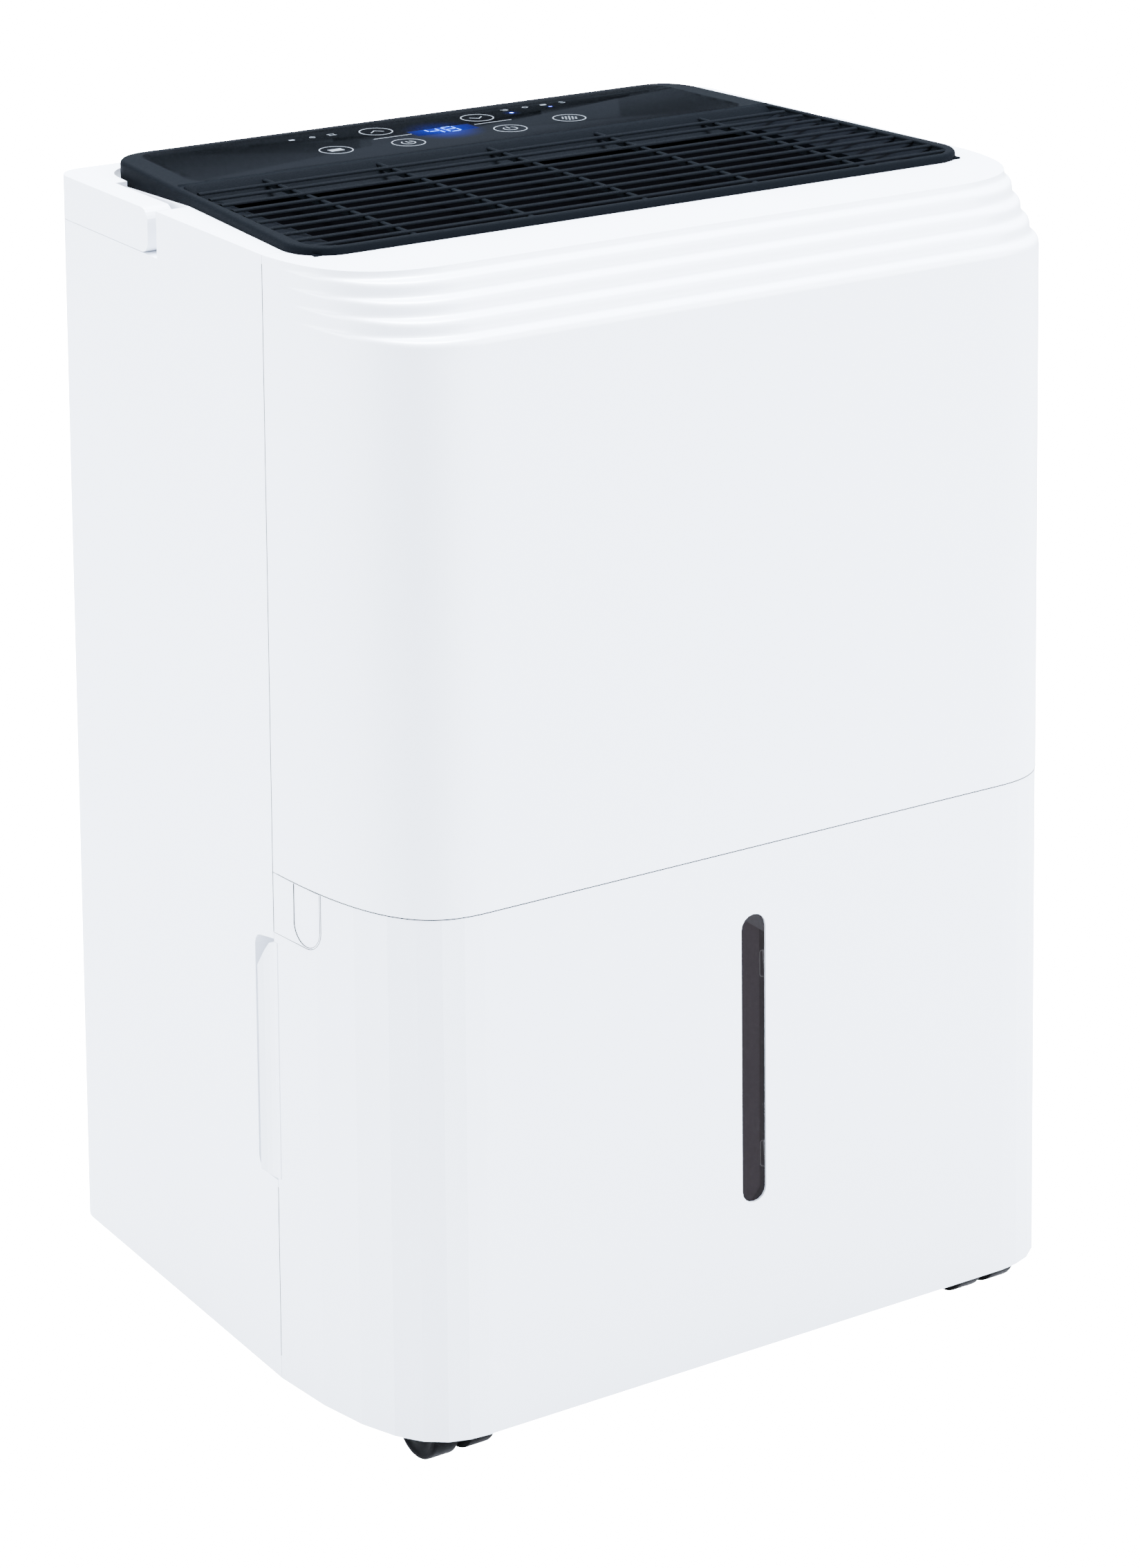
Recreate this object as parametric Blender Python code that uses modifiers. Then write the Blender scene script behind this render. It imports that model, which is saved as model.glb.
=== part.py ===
"""Free-standing compressor dehumidifier with a pull-out front bucket.

Frame: metres, +Z up, the front faces -Y, the floor is z = 0 and the plan centre is x = y = 0.
"""
import math

import bmesh
import bpy
from mathutils import Matrix, Vector

# ---- driving dimensions -------------------------------------------------
CLEARANCE = 0.0003          # gap left between touching pieces
WALL = 0.0025               # moulded wall thickness
GROUND = 0.020              # floor to the casing's bottom edge
CASE_HEIGHT = 0.5459        # bottom edge to the flat top deck
TOP_HALF_WIDTH = 0.195      # at the deck, on the side seam
TOP_HALF_DEPTH = 0.1543     # at the deck
DRAFT = 0.0091              # each wall leans out this much at the bottom edge
REAR_TAPER = 0.0083         # the sides close in this much from the seam to the back
REAR_CORNER = 0.014
HEEL = 0.008                # round at the foot of the back wall
SEAM_Y = -0.0598            # vertical seam between the rear and front shells
MID_SEAM = 0.2583           # bucket top, above the bottom edge
CORNER_WIDTH = 0.0616       # front corner, measured along X
CORNER_LEAN = 0.0377        # radians: the corner turns in from the seam onward
CORNER_SIDE_PULL = 1.04
CORNER_FRONT_PULL = 0.40
RIPPLE_BOTTOM = 0.5171      # above the bottom edge
RIPPLE_SETBACK = 0.0305
RIPPLES = 4
TOP_CORNER_WIDTH = 0.070

PANEL_FRONT = -0.0801
PANEL_REAR = 0.1432
PANEL_FRONT_HALF = 0.1856
PANEL_REAR_HALF = 0.1629
PANEL_CORNER = 0.020
PANEL_RISE_FRONT = 0.0037
PANEL_RISE_REAR = 0.0058
PANEL_SKIRT = 0.0025
PANEL_FOOT_DROP = 0.0064    # the skirt gets deeper toward the rear

SLOTS = 10
SLOT_FRONT = -0.0740
SLOT_REAR = 0.0487
SLAT = 0.0048
RIBS = 5
RIB_PITCH = 0.062
RIB = 0.0030

HANDLE_FRONT = 0.0540       # front end of the handle's side arms
HANDLE_BOTTOM = 0.5240      # above the bottom edge
HANDLE_TOP = 0.5451
HANDLE_SLOT_REAR = 0.1136   # the finger slots beside the panel end here
HANDLE_ARM = 0.0130
HANDLE_CLEAR = 0.0031       # the rear bar swings up past the panel edge
POCKET_FRONT = 0.0445
PIVOT_Y = 0.0603
PIVOT_Z = 0.5305
PIVOT_RADIUS = 0.0022

GRIP_LOW = 0.1050
GRIP_HIGH = 0.2240
GRIP_REACH = 0.0040
GRIP_LENGTH = 0.0085
RECESS_REAR = -0.0408
RECESS_DEPTH = 0.016

WINDOW_LOW = 0.0780
WINDOW_HIGH = 0.2251
WINDOW_HALF = 0.0070

PORT_FRONT = -0.0971        # drain port panel, along Y on the left front corner
PORT_BOTTOM = 0.2290
PORT_HALF = 0.0105
PORT_CENTRE = -0.0866

TUB_HALF = 0.165
TUB_REAR = -0.004
TUB_FLOOR = 0.0240          # underside, above the bottom edge
TUB_RIM = 0.2440

PAN_BOTTOM = 0.0020
PAN_TOP = 0.0050
DECK_BOTTOM = 0.2620
DECK_TOP = 0.2650

WHEEL_RADIUS = 0.018
WHEEL_TRAIL = 0.008
WHEEL_OUT = 0.0175
WHEEL_IN = 0.0038
CASTER_X = 0.1560
CASTER_FRONT_Y = -0.1230
CASTER_REAR_Y = 0.1060
WELL_RADIUS = 0.0325
WELL_TOP = 0.0190

DRAIN_X = 0.100
DRAIN_HEIGHT = 0.075
DRAIN_DEPTH = 0.016
CORD_X = -0.130
CORD_HEIGHT = 0.055
CORD_DEPTH = 0.008
# x, height, radius and depth of the wells the rear fittings stand in
REAR_WELLS = [(DRAIN_X, DRAIN_HEIGHT, 0.0200, DRAIN_DEPTH), (CORD_X, CORD_HEIGHT, 0.0140, CORD_DEPTH)]

INTAKE_HALF = 0.140
INTAKE_LOW = 0.2850
INTAKE_HIGH = 0.5050

FAN_Z = 0.4000
FAN_RADIUS = 0.070

TOP = GROUND + CASE_HEIGHT
ARC_STEPS = 6


def up(height):
    """World height of a level given above the casing's bottom edge."""
    return GROUND + height


# ---- scene and materials --------------------------------------------------
for old in list(bpy.data.objects):
    bpy.data.objects.remove(old, do_unlink=True)

parts = bpy.data.collections.new("dehumidifier")
cutters = bpy.data.collections.new("cutters")
bpy.context.scene.collection.children.link(parts)
bpy.context.scene.collection.children.link(cutters)


def finish(name, colour, roughness, metallic=0.0, alpha=1.0):
    material = bpy.data.materials.new(name)
    material.use_nodes = True
    shader = material.node_tree.nodes["Principled BSDF"]
    shader.inputs["Base Color"].default_value = (*colour, 1.0)
    shader.inputs["Roughness"].default_value = roughness
    shader.inputs["Metallic"].default_value = metallic
    shader.inputs["Alpha"].default_value = alpha
    return material


WHITE = (0.80, 0.81, 0.84)
CHARCOAL = (0.021, 0.027, 0.036)
COPPER = (0.72, 0.34, 0.20)


# ---- mesh helpers -----------------------------------------------------------
def place(name, mesh, colour, roughness=0.45, metallic=0.0):
    """Put a mesh into the assembly under its own material."""
    body = bpy.data.objects.new(name, mesh)
    parts.objects.link(body)
    mesh.materials.clear()
    mesh.materials.append(finish(name, colour, roughness, metallic))
    return body


def as_cutter(name, mesh):
    body = bpy.data.objects.new(name, mesh)
    cutters.objects.link(body)
    body.hide_render = True
    body.display_type = "WIRE"
    return body


def mesh_of(name, build):
    """Run a bmesh builder and return the closed mesh with its faces pointing out."""
    work = bmesh.new()
    build(work)
    bmesh.ops.recalc_face_normals(work, faces=work.faces)
    mesh = bpy.data.meshes.new(name)
    work.to_mesh(mesh)
    work.free()
    return mesh


def block_mesh(name, low, high, bevel=0.0):
    size = [b - a for a, b in zip(low, high)]
    middle = [(a + b) / 2 for a, b in zip(low, high)]

    def build(work):
        bmesh.ops.create_cube(work, size=1.0)
        bmesh.ops.scale(work, vec=size, verts=work.verts)
        bmesh.ops.translate(work, vec=middle, verts=work.verts)
        if bevel:
            bmesh.ops.bevel(work, geom=work.edges[:], offset=bevel, segments=1, affect="EDGES")
    return mesh_of(name, build)


def rod_mesh(name, radius, start, end, steps=16):
    start, end = Vector(start), Vector(end)
    turn = (end - start).to_track_quat("Z", "Y").to_matrix().to_4x4()

    def build(work):
        bmesh.ops.create_cone(work, cap_ends=True, segments=steps, radius1=radius, radius2=radius,
                              depth=(end - start).length,
                              matrix=Matrix.Translation((start + end) / 2) @ turn)
    return mesh_of(name, build)


def loft_mesh(name, rings):
    """Closed solid through rings of equal point counts, with flat ends."""
    def build(work):
        rows = [[work.verts.new(point) for point in ring] for ring in rings]
        for lower, upper in zip(rows, rows[1:]):
            for i in range(len(lower)):
                j = (i + 1) % len(lower)
                work.faces.new((lower[i], lower[j], upper[j], upper[i]))
        work.faces.new(rows[0][::-1])
        work.faces.new(rows[-1])
    return mesh_of(name, build)


def prism_mesh(name, outline, low, high):
    """Flat outline in XY raised between two levels."""
    return loft_mesh(name, [[(x, y, z) for x, y in outline] for z in (low, high)])


def extrude_y(name, outline, front, back):
    """Flat outline in XZ carried along Y."""
    return loft_mesh(name, [[(x, y, z) for x, z in outline] for y in (front, back)])


def extrude_x(name, outline, left, right):
    """Flat outline in YZ carried along X."""
    return loft_mesh(name, [[(x, y, z) for y, z in outline] for x in (left, right)])


def joined_mesh(name, meshes):
    work = bmesh.new()
    for mesh in meshes:
        work.from_mesh(mesh)
    merged = bpy.data.meshes.new(name)
    work.to_mesh(merged)
    work.free()
    return merged


def turned(name, profile, colour, place_at, turn=(0, 0, 0), steps=24, roughness=0.4, metallic=0.0,
           flip=False):
    """Profile of (radius, height) points, from the top of the axis down the outside, turned about Z."""
    mesh = bpy.data.meshes.new(name)
    closed = profile[0] == profile[-1]
    points = profile[:-1] if closed else profile
    links = [(i, (i + 1) % len(points)) for i in range(len(points) - (0 if closed else 1))]
    mesh.from_pydata([(r, 0, z) for r, z in points], links, [])
    body = place(name, mesh, colour, roughness, metallic)
    body.location = place_at
    body.rotation_euler = turn
    screw = body.modifiers.new("turn", "SCREW")
    screw.steps = steps
    screw.render_steps = steps
    screw.use_merge_vertices = True
    screw.merge_threshold = 0.00001
    screw.use_normal_calculate = True
    screw.use_normal_flip = flip
    return body


def combine(body, other, operation):
    step = body.modifiers.new(other.name, "BOOLEAN")
    step.operation = operation
    step.solver = "EXACT"
    step.object = other


def cut(body, *meshes):
    for mesh in meshes:
        combine(body, as_cutter(mesh.name, mesh), "DIFFERENCE")


def add(body, *meshes):
    for mesh in meshes:
        combine(body, as_cutter(mesh.name, mesh), "UNION")


def keep(body, *meshes):
    for mesh in meshes:
        combine(body, as_cutter(mesh.name, mesh), "INTERSECT")


def pipe(name, points, radius, colour, roughness=0.3, metallic=1.0):
    curve = bpy.data.curves.new(name, "CURVE")
    curve.dimensions = "3D"
    curve.bevel_depth = radius
    curve.bevel_resolution = 1
    curve.use_fill_caps = True
    spline = curve.splines.new("POLY")
    spline.points.add(len(points) - 1)
    for point, spot in zip(spline.points, points):
        point.co = (*spot, 1.0)
    return place(name, curve, colour, roughness, metallic)


def rounded(points, radius, steps=ARC_STEPS):
    """Round every corner of a closed outline."""
    outline = []
    for before, corner, after in zip(points[-1:] + points[:-1], points, points[1:] + points[:1]):
        corner = Vector(corner)
        a = (Vector(before) - corner).normalized()
        b = (Vector(after) - corner).normalized()
        half = a.angle(b) / 2
        centre = corner + (a + b).normalized() * radius / math.sin(half)
        start = corner + a * radius / math.tan(half) - centre
        sweep = (corner + b * radius / math.tan(half) - centre).angle_signed(start)
        for i in range(steps + 1):
            outline.append(tuple(centre + Matrix.Rotation(sweep * i / steps, 2) @ start))
    return outline


def inset(points, distance, closed=True):
    """Move an anticlockwise outline in by a distance."""
    moved = []
    count = len(points)
    for i in range(count):
        here = Vector(points[i])
        before = Vector(points[i - 1]) if closed or i else None
        after = Vector(points[(i + 1) % count]) if closed or i < count - 1 else None
        a = (here - before).normalized() if before is not None else (after - here).normalized()
        b = (after - here).normalized() if after is not None else a
        normal = Vector((-a.y - b.y, a.x + b.x)).normalized()
        moved.append(tuple(here + normal * distance / max(normal.dot(Vector((-a.y, a.x))), 0.4)))
    return moved


def bezier(p0, p1, p2, p3, steps):
    points = []
    for i in range(steps + 1):
        t = i / steps
        s = 1 - t
        points.append(tuple(p0 * s ** 3 + p1 * 3 * s * s * t + p2 * 3 * s * t * t + p3 * t ** 3))
    return points


# ---- casing outlines --------------------------------------------------------
def spread(height):
    """How far a wall leans out at a level above the bottom edge."""
    return DRAFT * (1 - height / CASE_HEIGHT)


def front_outline(height, setback=0.0, corner_width=CORNER_WIDTH, steps=8):
    """Left seam, round the front, to the right seam, anticlockwise seen from above."""
    half = TOP_HALF_WIDTH + spread(height)
    front = -(TOP_HALF_DEPTH + spread(height)) + setback
    start = Vector((-half, SEAM_Y))
    end = Vector((-half + corner_width, front))
    side = start + Vector((math.sin(CORNER_LEAN),
                           -math.cos(CORNER_LEAN))) * CORNER_SIDE_PULL * (SEAM_Y - front)
    left = bezier(start, side, end - Vector((CORNER_FRONT_PULL * corner_width, 0)), end, steps)
    return left + [(-x, y) for x, y in reversed(left)]


def rear_outline(height, seam=SEAM_Y):
    """Right seam, round the back, to the left seam, anticlockwise seen from above."""
    half = TOP_HALF_WIDTH + spread(height)
    back = TOP_HALF_DEPTH + spread(height)
    square = [(half, seam), (half - REAR_TAPER, back), (-half + REAR_TAPER, back), (-half, seam)]
    return [square[0]] + rounded(square, REAR_CORNER)[ARC_STEPS + 1:3 * (ARC_STEPS + 1)] + [square[3]]


def rear_face(height):
    return TOP_HALF_DEPTH + spread(height)


def panel_outline(grow=0.0):
    square = [(-PANEL_FRONT_HALF, PANEL_FRONT), (PANEL_FRONT_HALF, PANEL_FRONT),
              (PANEL_REAR_HALF, PANEL_REAR), (-PANEL_REAR_HALF, PANEL_REAR)]
    return inset(rounded(square, PANEL_CORNER), -grow)


def panel_top(y):
    slope = (PANEL_RISE_REAR - PANEL_RISE_FRONT) / (PANEL_REAR - PANEL_FRONT)
    return TOP + PANEL_RISE_FRONT + slope * (y - PANEL_FRONT)


def panel_foot(y):
    return TOP - PANEL_SKIRT - PANEL_FOOT_DROP * (y - PANEL_FRONT) / (PANEL_REAR - PANEL_FRONT)


# ---- casing -------------------------------------------------------------------
def side_block(name, side, near, far, front, back, low, high):
    """Block at one side, between two distances from the centre plane."""
    left, right = sorted((side * near, side * far))
    return block_mesh(name, (left, front, low), (right, back, high))


def recess_outline():
    """Finger recess in YZ: its top slopes down to the rear, and both rear corners are round."""
    low, high = up(GRIP_LOW) - 0.0015, up(GRIP_HIGH) + 0.0015
    square = [(SEAM_Y - 0.020, low), (RECESS_REAR, low), (RECESS_REAR, high - 0.0035), (SEAM_Y, high),
              (SEAM_Y - 0.020, high)]
    outline = rounded(square, 0.006, 3)
    return [p for p in outline if p[0] > SEAM_Y - 0.0138] + [(SEAM_Y - 0.020, high), (SEAM_Y - 0.020, low)]


def make_rear_shell():
    outer = [[(x, y, up(h)) for x, y in rear_outline(h)] for h in (0.0, CASE_HEIGHT)]
    body = place("rear_shell", loft_mesh("rear_shell", outer), WHITE, 0.25)
    hollow = []
    for height in (-0.01, HANDLE_BOTTOM - WALL):
        ring = inset(rear_outline(height), WALL, closed=False)
        ring[0] = (ring[0][0], SEAM_Y - 0.02)
        ring[-1] = (ring[-1][0], SEAM_Y - 0.02)
        hollow.append([(x, y, up(height)) for x, y in ring])
    room = as_cutter("rear_hollow", loft_mesh("rear_hollow", hollow))
    outside = TOP_HALF_WIDTH + DRAFT
    for side in (-1, 1):
        lining = side_block("grip_lining", side, outside - RECESS_DEPTH - 2 * WALL, 0.3, SEAM_Y - 0.03,
                            RECESS_REAR + WALL, up(GRIP_LOW) - 2 * WALL, up(GRIP_HIGH) + 2 * WALL)
        combine(room, as_cutter("grip_lining", lining), "DIFFERENCE")
    for x, height, radius, depth in REAR_WELLS:
        floor = rear_face(height) - depth
        reach = radius + WALL
        well = block_mesh("well_lining", (x - reach, floor - WALL, up(height) - reach),
                          (x + reach, 0.3, up(height) + reach))
        combine(room, as_cutter("well_lining", well), "DIFFERENCE")
    combine(body, room, "DIFFERENCE")
    for x, height, radius, depth in REAR_WELLS:
        floor = rear_face(height) - depth
        cut(body, rod_mesh("rear_well", radius, (x, floor, up(height)), (x, 0.3, up(height)), 20))
    half = TOP_HALF_WIDTH - 0.0045
    cut(body, block_mesh("deck_hollow", (-half, SEAM_Y - 0.02, up(HANDLE_BOTTOM) - 0.02),
                         (half, POCKET_FRONT - WALL, TOP - WALL)))
    cut(body,
        prism_mesh("plinth_inside", inset(panel_outline(), 2 * WALL), up(HANDLE_BOTTOM) - 0.03, TOP + 0.02))
    slope = (PANEL_REAR_HALF - PANEL_FRONT_HALF) / (PANEL_REAR - PANEL_FRONT)
    neck = PANEL_FRONT_HALF + slope * (POCKET_FRONT - PANEL_FRONT) + 0.0018
    moat = [(0.3, POCKET_FRONT), (0.3, 0.3), (-0.3, 0.3), (-0.3, POCKET_FRONT), (-neck, POCKET_FRONT)]
    moat += panel_outline(0.0018)[2 * (ARC_STEPS + 1):][::-1] + [(neck, POCKET_FRONT)]
    cut(body, prism_mesh("handle_moat", moat, up(HANDLE_BOTTOM), TOP + 0.01))
    seat = panel_outline(0.0004)
    cut(body, loft_mesh("panel_seat", [[(x, y, panel_foot(y) - CLEARANCE) for x, y in seat],
                                       [(x, y, TOP + 0.02) for x, y in seat]]))
    fall = PANEL_FOOT_DROP / (PANEL_REAR - POCKET_FRONT)
    wedge = [(POCKET_FRONT, TOP), (0.3, TOP - fall * (0.3 - POCKET_FRONT)), (0.3, TOP + 0.01),
             (POCKET_FRONT, TOP + 0.01)]
    cut(body, extrude_x("plinth_slope", wedge, -0.3, 0.3))

    for side in (-1, 1):
        left, right = sorted((side * (outside - RECESS_DEPTH - WALL), side * 0.3))
        cut(body, extrude_x("grip_recess", recess_outline(), left, right))
        cut(body, rod_mesh("pivot_bore", PIVOT_RADIUS + CLEARANCE, (side * 0.150, PIVOT_Y, up(PIVOT_Z)),
                           (side * 0.175, PIVOT_Y, up(PIVOT_Z)), 12))
    heel = [(0.3, -0.1), (0.3, GROUND + HEEL)]
    for i in range(ARC_STEPS + 1):
        angle = math.radians(-90 * i / ARC_STEPS)
        heel.append((rear_face(0.0) - HEEL + HEEL * math.cos(angle), GROUND + HEEL + HEEL * math.sin(angle)))
    heel.append((rear_face(0.0) - HEEL, -0.1))
    cut(body, extrude_x("heel", heel, -0.3, 0.3))
    cut(body, block_mesh("intake_opening", (-INTAKE_HALF, 0.12, up(INTAKE_LOW)),
                         (INTAKE_HALF, 0.2, up(INTAKE_HIGH))))
    cut(body,
        rod_mesh("spigot_bore", 0.0105, (DRAIN_X, 0.12, up(DRAIN_HEIGHT)), (DRAIN_X, 0.2, up(DRAIN_HEIGHT))))
    cut(body, rod_mesh("cord_bore", 0.0083, (CORD_X, 0.12, up(CORD_HEIGHT)), (CORD_X, 0.2, up(CORD_HEIGHT))))
    return body


def make_front_shell():
    bottom = MID_SEAM + 0.0002
    lower = front_outline(RIPPLE_BOTTOM)
    upper = front_outline(CASE_HEIGHT, RIPPLE_SETBACK, TOP_CORNER_WIDTH)
    levels = [(0.0, 0.0)]
    for i in range(RIPPLES):
        levels.append(((i + 0.15) / RIPPLES, (i + 0.70) / RIPPLES))
        levels.append(((i + 1.0) / RIPPLES, (i + 1.0) / RIPPLES))
    rows = [[(x, y, up(bottom)) for x, y in front_outline(bottom)]]
    for back, rise in levels:
        height = RIPPLE_BOTTOM + rise * (CASE_HEIGHT - RIPPLE_BOTTOM)
        rows.append([(a[0] + (b[0] - a[0]) * back, a[1] + (b[1] - a[1]) * back, up(height))
                     for a, b in zip(lower, upper)])

    def build(work):
        grid = [[work.verts.new(point) for point in row] for row in rows]
        for low, high in zip(grid, grid[1:]):
            for i in range(len(low) - 1):
                work.faces.new((low[i], low[i + 1], high[i + 1], high[i]))
        work.faces.new(grid[-1])
    body = place("front_shell", mesh_of("front_shell", build), WHITE, 0.25)
    for vertex in body.data.vertices:
        if abs(vertex.co.y - SEAM_Y) < 0.0001:
            vertex.co.y -= CLEARANCE
    shell = body.modifiers.new("wall", "SOLIDIFY")
    shell.thickness = WALL
    shell.offset = -1
    shell.use_even_offset = True
    cut(body, prism_mesh("panel_seat_front", panel_outline(0.0004), TOP - 0.02, TOP + 0.02))
    return body


def make_top_panel():
    outline = panel_outline()
    solid = [[(x, y, panel_foot(y)) for x, y in outline], [(x, y, panel_top(y)) for x, y in outline]]
    body = place("top_panel", loft_mesh("top_panel", solid), CHARCOAL, 0.45)
    inner = inset(outline, WALL)
    hollow = [[(x, y, TOP - 0.02) for x, y in inner], [(x, y, panel_top(y) - WALL) for x, y in inner]]
    cut(body, loft_mesh("panel_hollow", hollow))

    pitch = (SLOT_REAR - SLOT_FRONT) / SLOTS
    edges = [-1] + [i - (RIBS - 1) / 2 for i in range(RIBS)] + [1]
    slots = []
    for row in range(SLOTS):
        front = SLOT_FRONT + row * pitch + (0.0 if row == 0 else SLAT / 2)
        back = SLOT_FRONT + (row + 1) * pitch - SLAT / 2
        half = PANEL_FRONT_HALF - 0.0095 - 0.10 * (front - SLOT_FRONT)
        stops = [-half] + [e * RIB_PITCH for e in edges[1:-1]] + [half]
        for i, (left, right) in enumerate(zip(stops, stops[1:])):
            left = left + (RIB / 2 if i else 0.0)
            right = right - (RIB / 2 if i < RIBS else 0.0)
            slots.append(block_mesh("slot", (left, front, TOP - 0.02), (right, back, TOP + 0.02)))
    cut(body, joined_mesh("slots", slots))
    cut(body, membrane_mesh("membrane_seat", CLEARANCE, -0.0008, 0.01))
    return body


def membrane_mesh(name, grow, low, high):
    square = [(-0.1577, 0.0670), (0.1577, 0.0670), (0.1510, 0.1375), (-0.1510, 0.1375)]
    outline = inset(rounded(square, 0.010, 4), -grow)
    return loft_mesh(name, [[(x, y, panel_top(y) + z) for x, y in outline] for z in (low, high)])


def make_controls():
    sheet = place("control_membrane", membrane_mesh("control_membrane", 0.0, -0.0005, 0.0), CHARCOAL, 0.5)
    window = [(-0.0175, 0.0975), (0.0175, 0.0975), (0.0175, 0.1090), (-0.0175, 0.1090)]
    seat = [[(x, y, panel_top(y) + z) for x, y in inset(window, -CLEARANCE)] for z in (-0.01, 0.01)]
    cut(sheet, loft_mesh("display_seat", seat))
    pane = [[(x, y, panel_top(y) + z) for x, y in window] for z in (-0.0005, 0.0)]
    place("display_window", loft_mesh("display_window", pane), (0.01, 0.02, 0.12), 0.1)
    board = TOP - 0.014
    place("control_board",
          block_mesh("control_board", (-0.095, 0.070, board), (0.095, 0.132, board + 0.0016)),
          (0.02, 0.16, 0.06), 0.5)
    place("display_module",
          block_mesh("display_module", (-0.020, 0.094, board + 0.0019), (0.020, 0.112, board + 0.0085)),
          (0.03, 0.03, 0.035), 0.4)


# ---- carry handle ----------------------------------------------------------
def make_handle():
    side = []
    centre_y, radius = PIVOT_Y, PIVOT_Y - HANDLE_FRONT
    low, high = up(HANDLE_BOTTOM) + CLEARANCE, up(HANDLE_TOP)
    for i in range(ARC_STEPS + 1):
        angle = math.radians(270 - 90 * i / ARC_STEPS)
        side.append((centre_y + radius * math.cos(angle), low + radius + radius * math.sin(angle)))
    for i in range(ARC_STEPS + 1):
        angle = math.radians(180 - 90 * i / ARC_STEPS)
        side.append((centre_y + radius * math.cos(angle), high - radius + radius * math.sin(angle)))
    side += [(0.2, high), (0.2, low)]
    body = place("carry_handle", extrude_x("carry_handle", side, -0.25, 0.25), WHITE, 0.25)
    keep(body, loft_mesh("handle_outside", [[(x, y, up(h)) for x, y in rear_outline(h, -0.07)]
                                            for h in (0.0, CASE_HEIGHT)]))
    arm_front = TOP_HALF_WIDTH - REAR_TAPER * (HANDLE_FRONT - SEAM_Y) / (TOP_HALF_DEPTH - SEAM_Y) - HANDLE_ARM
    arm_rear = arm_front - REAR_TAPER * (HANDLE_SLOT_REAR - HANDLE_FRONT) / (TOP_HALF_DEPTH - SEAM_Y)
    finger = [(-arm_front, HANDLE_FRONT - 0.02), (arm_front, HANDLE_FRONT - 0.02),
              (arm_rear, HANDLE_SLOT_REAR), (-arm_rear, HANDLE_SLOT_REAR)]
    cut(body, prism_mesh("finger_slots", finger, TOP - 0.1, TOP + 0.1))
    cut(body, prism_mesh("handle_inside", panel_outline(HANDLE_CLEAR), TOP - 0.1, TOP + 0.1))
    for name, sign in (("handle_pivot_left", -1), ("handle_pivot_right", 1)):
        bore = rod_mesh("handle_bore", PIVOT_RADIUS + CLEARANCE, (sign * 0.165, PIVOT_Y, up(PIVOT_Z)),
                        (sign * (arm_front + 0.008), PIVOT_Y, up(PIVOT_Z)), 12)
        cut(body, bore)
        place(name, rod_mesh(name, PIVOT_RADIUS, (sign * 0.1690, PIVOT_Y, up(PIVOT_Z)),
                             (sign * (arm_front + 0.0075), PIVOT_Y, up(PIVOT_Z)), 12), (0.6, 0.6, 0.62), 0.3,
              1.0)
    return body


# ---- bucket -----------------------------------------------------------------
def bucket_outline(height, tub_rear=TUB_REAR):
    front = front_outline(height)
    step = SEAM_Y - CLEARANCE
    front[0] = (front[0][0], step)
    front[-1] = (front[-1][0], step)
    return front + [(TUB_HALF, step), (TUB_HALF, tub_rear), (-TUB_HALF, tub_rear), (-TUB_HALF, step)]


def make_grip_lips():
    """Upright finger lips that flare out past the bucket's rear edge on both sides."""
    lips = []
    for side in (-1, 1):
        rings = []
        steps = 4
        for i in range(steps + 1):
            t = i / steps
            rise = t * t
            y = SEAM_Y - 0.003 + (GRIP_LENGTH + 0.003) * t
            trim = 0.012 * max(0.0, t - 0.35) ** 1.6
            ring = []
            for height, inner in ((GRIP_LOW + trim * 0.4, 1), (GRIP_HIGH - trim * 2.2, 1),
                                  (GRIP_HIGH - trim * 2.2, 0), (GRIP_LOW + trim * 0.4, 0)):
                x = TOP_HALF_WIDTH + spread(height) + GRIP_REACH * rise - (0.0024 if inner else -0.00015)
                ring.append((side * x, y, up(height)))
            rings.append(ring)
        lips.append(loft_mesh("grip_lip", rings))
    return lips


def make_bucket():
    outer = [[(x, y, up(h)) for x, y in bucket_outline(h)] for h in (0.0, MID_SEAM - 0.0002)]
    body = place("bucket", loft_mesh("bucket", outer), WHITE, 0.25)
    inner = [[(x, y, up(h)) for x, y in inset(bucket_outline(h), WALL)] for h in (TUB_FLOOR + WALL,
                                                                                  MID_SEAM + 0.01)]
    cut(body, loft_mesh("bucket_inside", inner))
    under = []
    for height in (-0.01, TUB_FLOOR):
        ring = inset(front_outline(height), WALL, closed=False)
        ring[0] = (ring[0][0], 0.05)
        ring[-1] = (ring[-1][0], 0.05)
        under.append([(x, y, up(height)) for x, y in ring])
    cut(body, loft_mesh("bucket_under", under))
    cut(body, block_mesh("rim_step", (-0.3, SEAM_Y - CLEARANCE - WALL - 0.0001, up(TUB_RIM)),
                         (0.3, 0.1, up(MID_SEAM) + 0.02)))
    for lip in make_grip_lips():
        add(body, lip)
    window = stadium(WINDOW_HALF, WINDOW_LOW, WINDOW_HIGH)
    cut(body, extrude_y("window_slot", window, -0.25, -0.14))
    port = port_outline(CLEARANCE)
    cut(body, extrude_x("port_notch", port, -0.25, -0.172))
    return body


def stadium(half, low, high, steps=8):
    """Upright slot outline with fully round ends, in XZ."""
    outline = []
    for centre, start in ((up(low) + half, 180), (up(high) - half, 0)):
        for i in range(steps + 1):
            angle = math.radians(start + 180 * i / steps)
            outline.append((half * math.cos(angle), centre + half * math.sin(angle)))
    return outline


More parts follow.
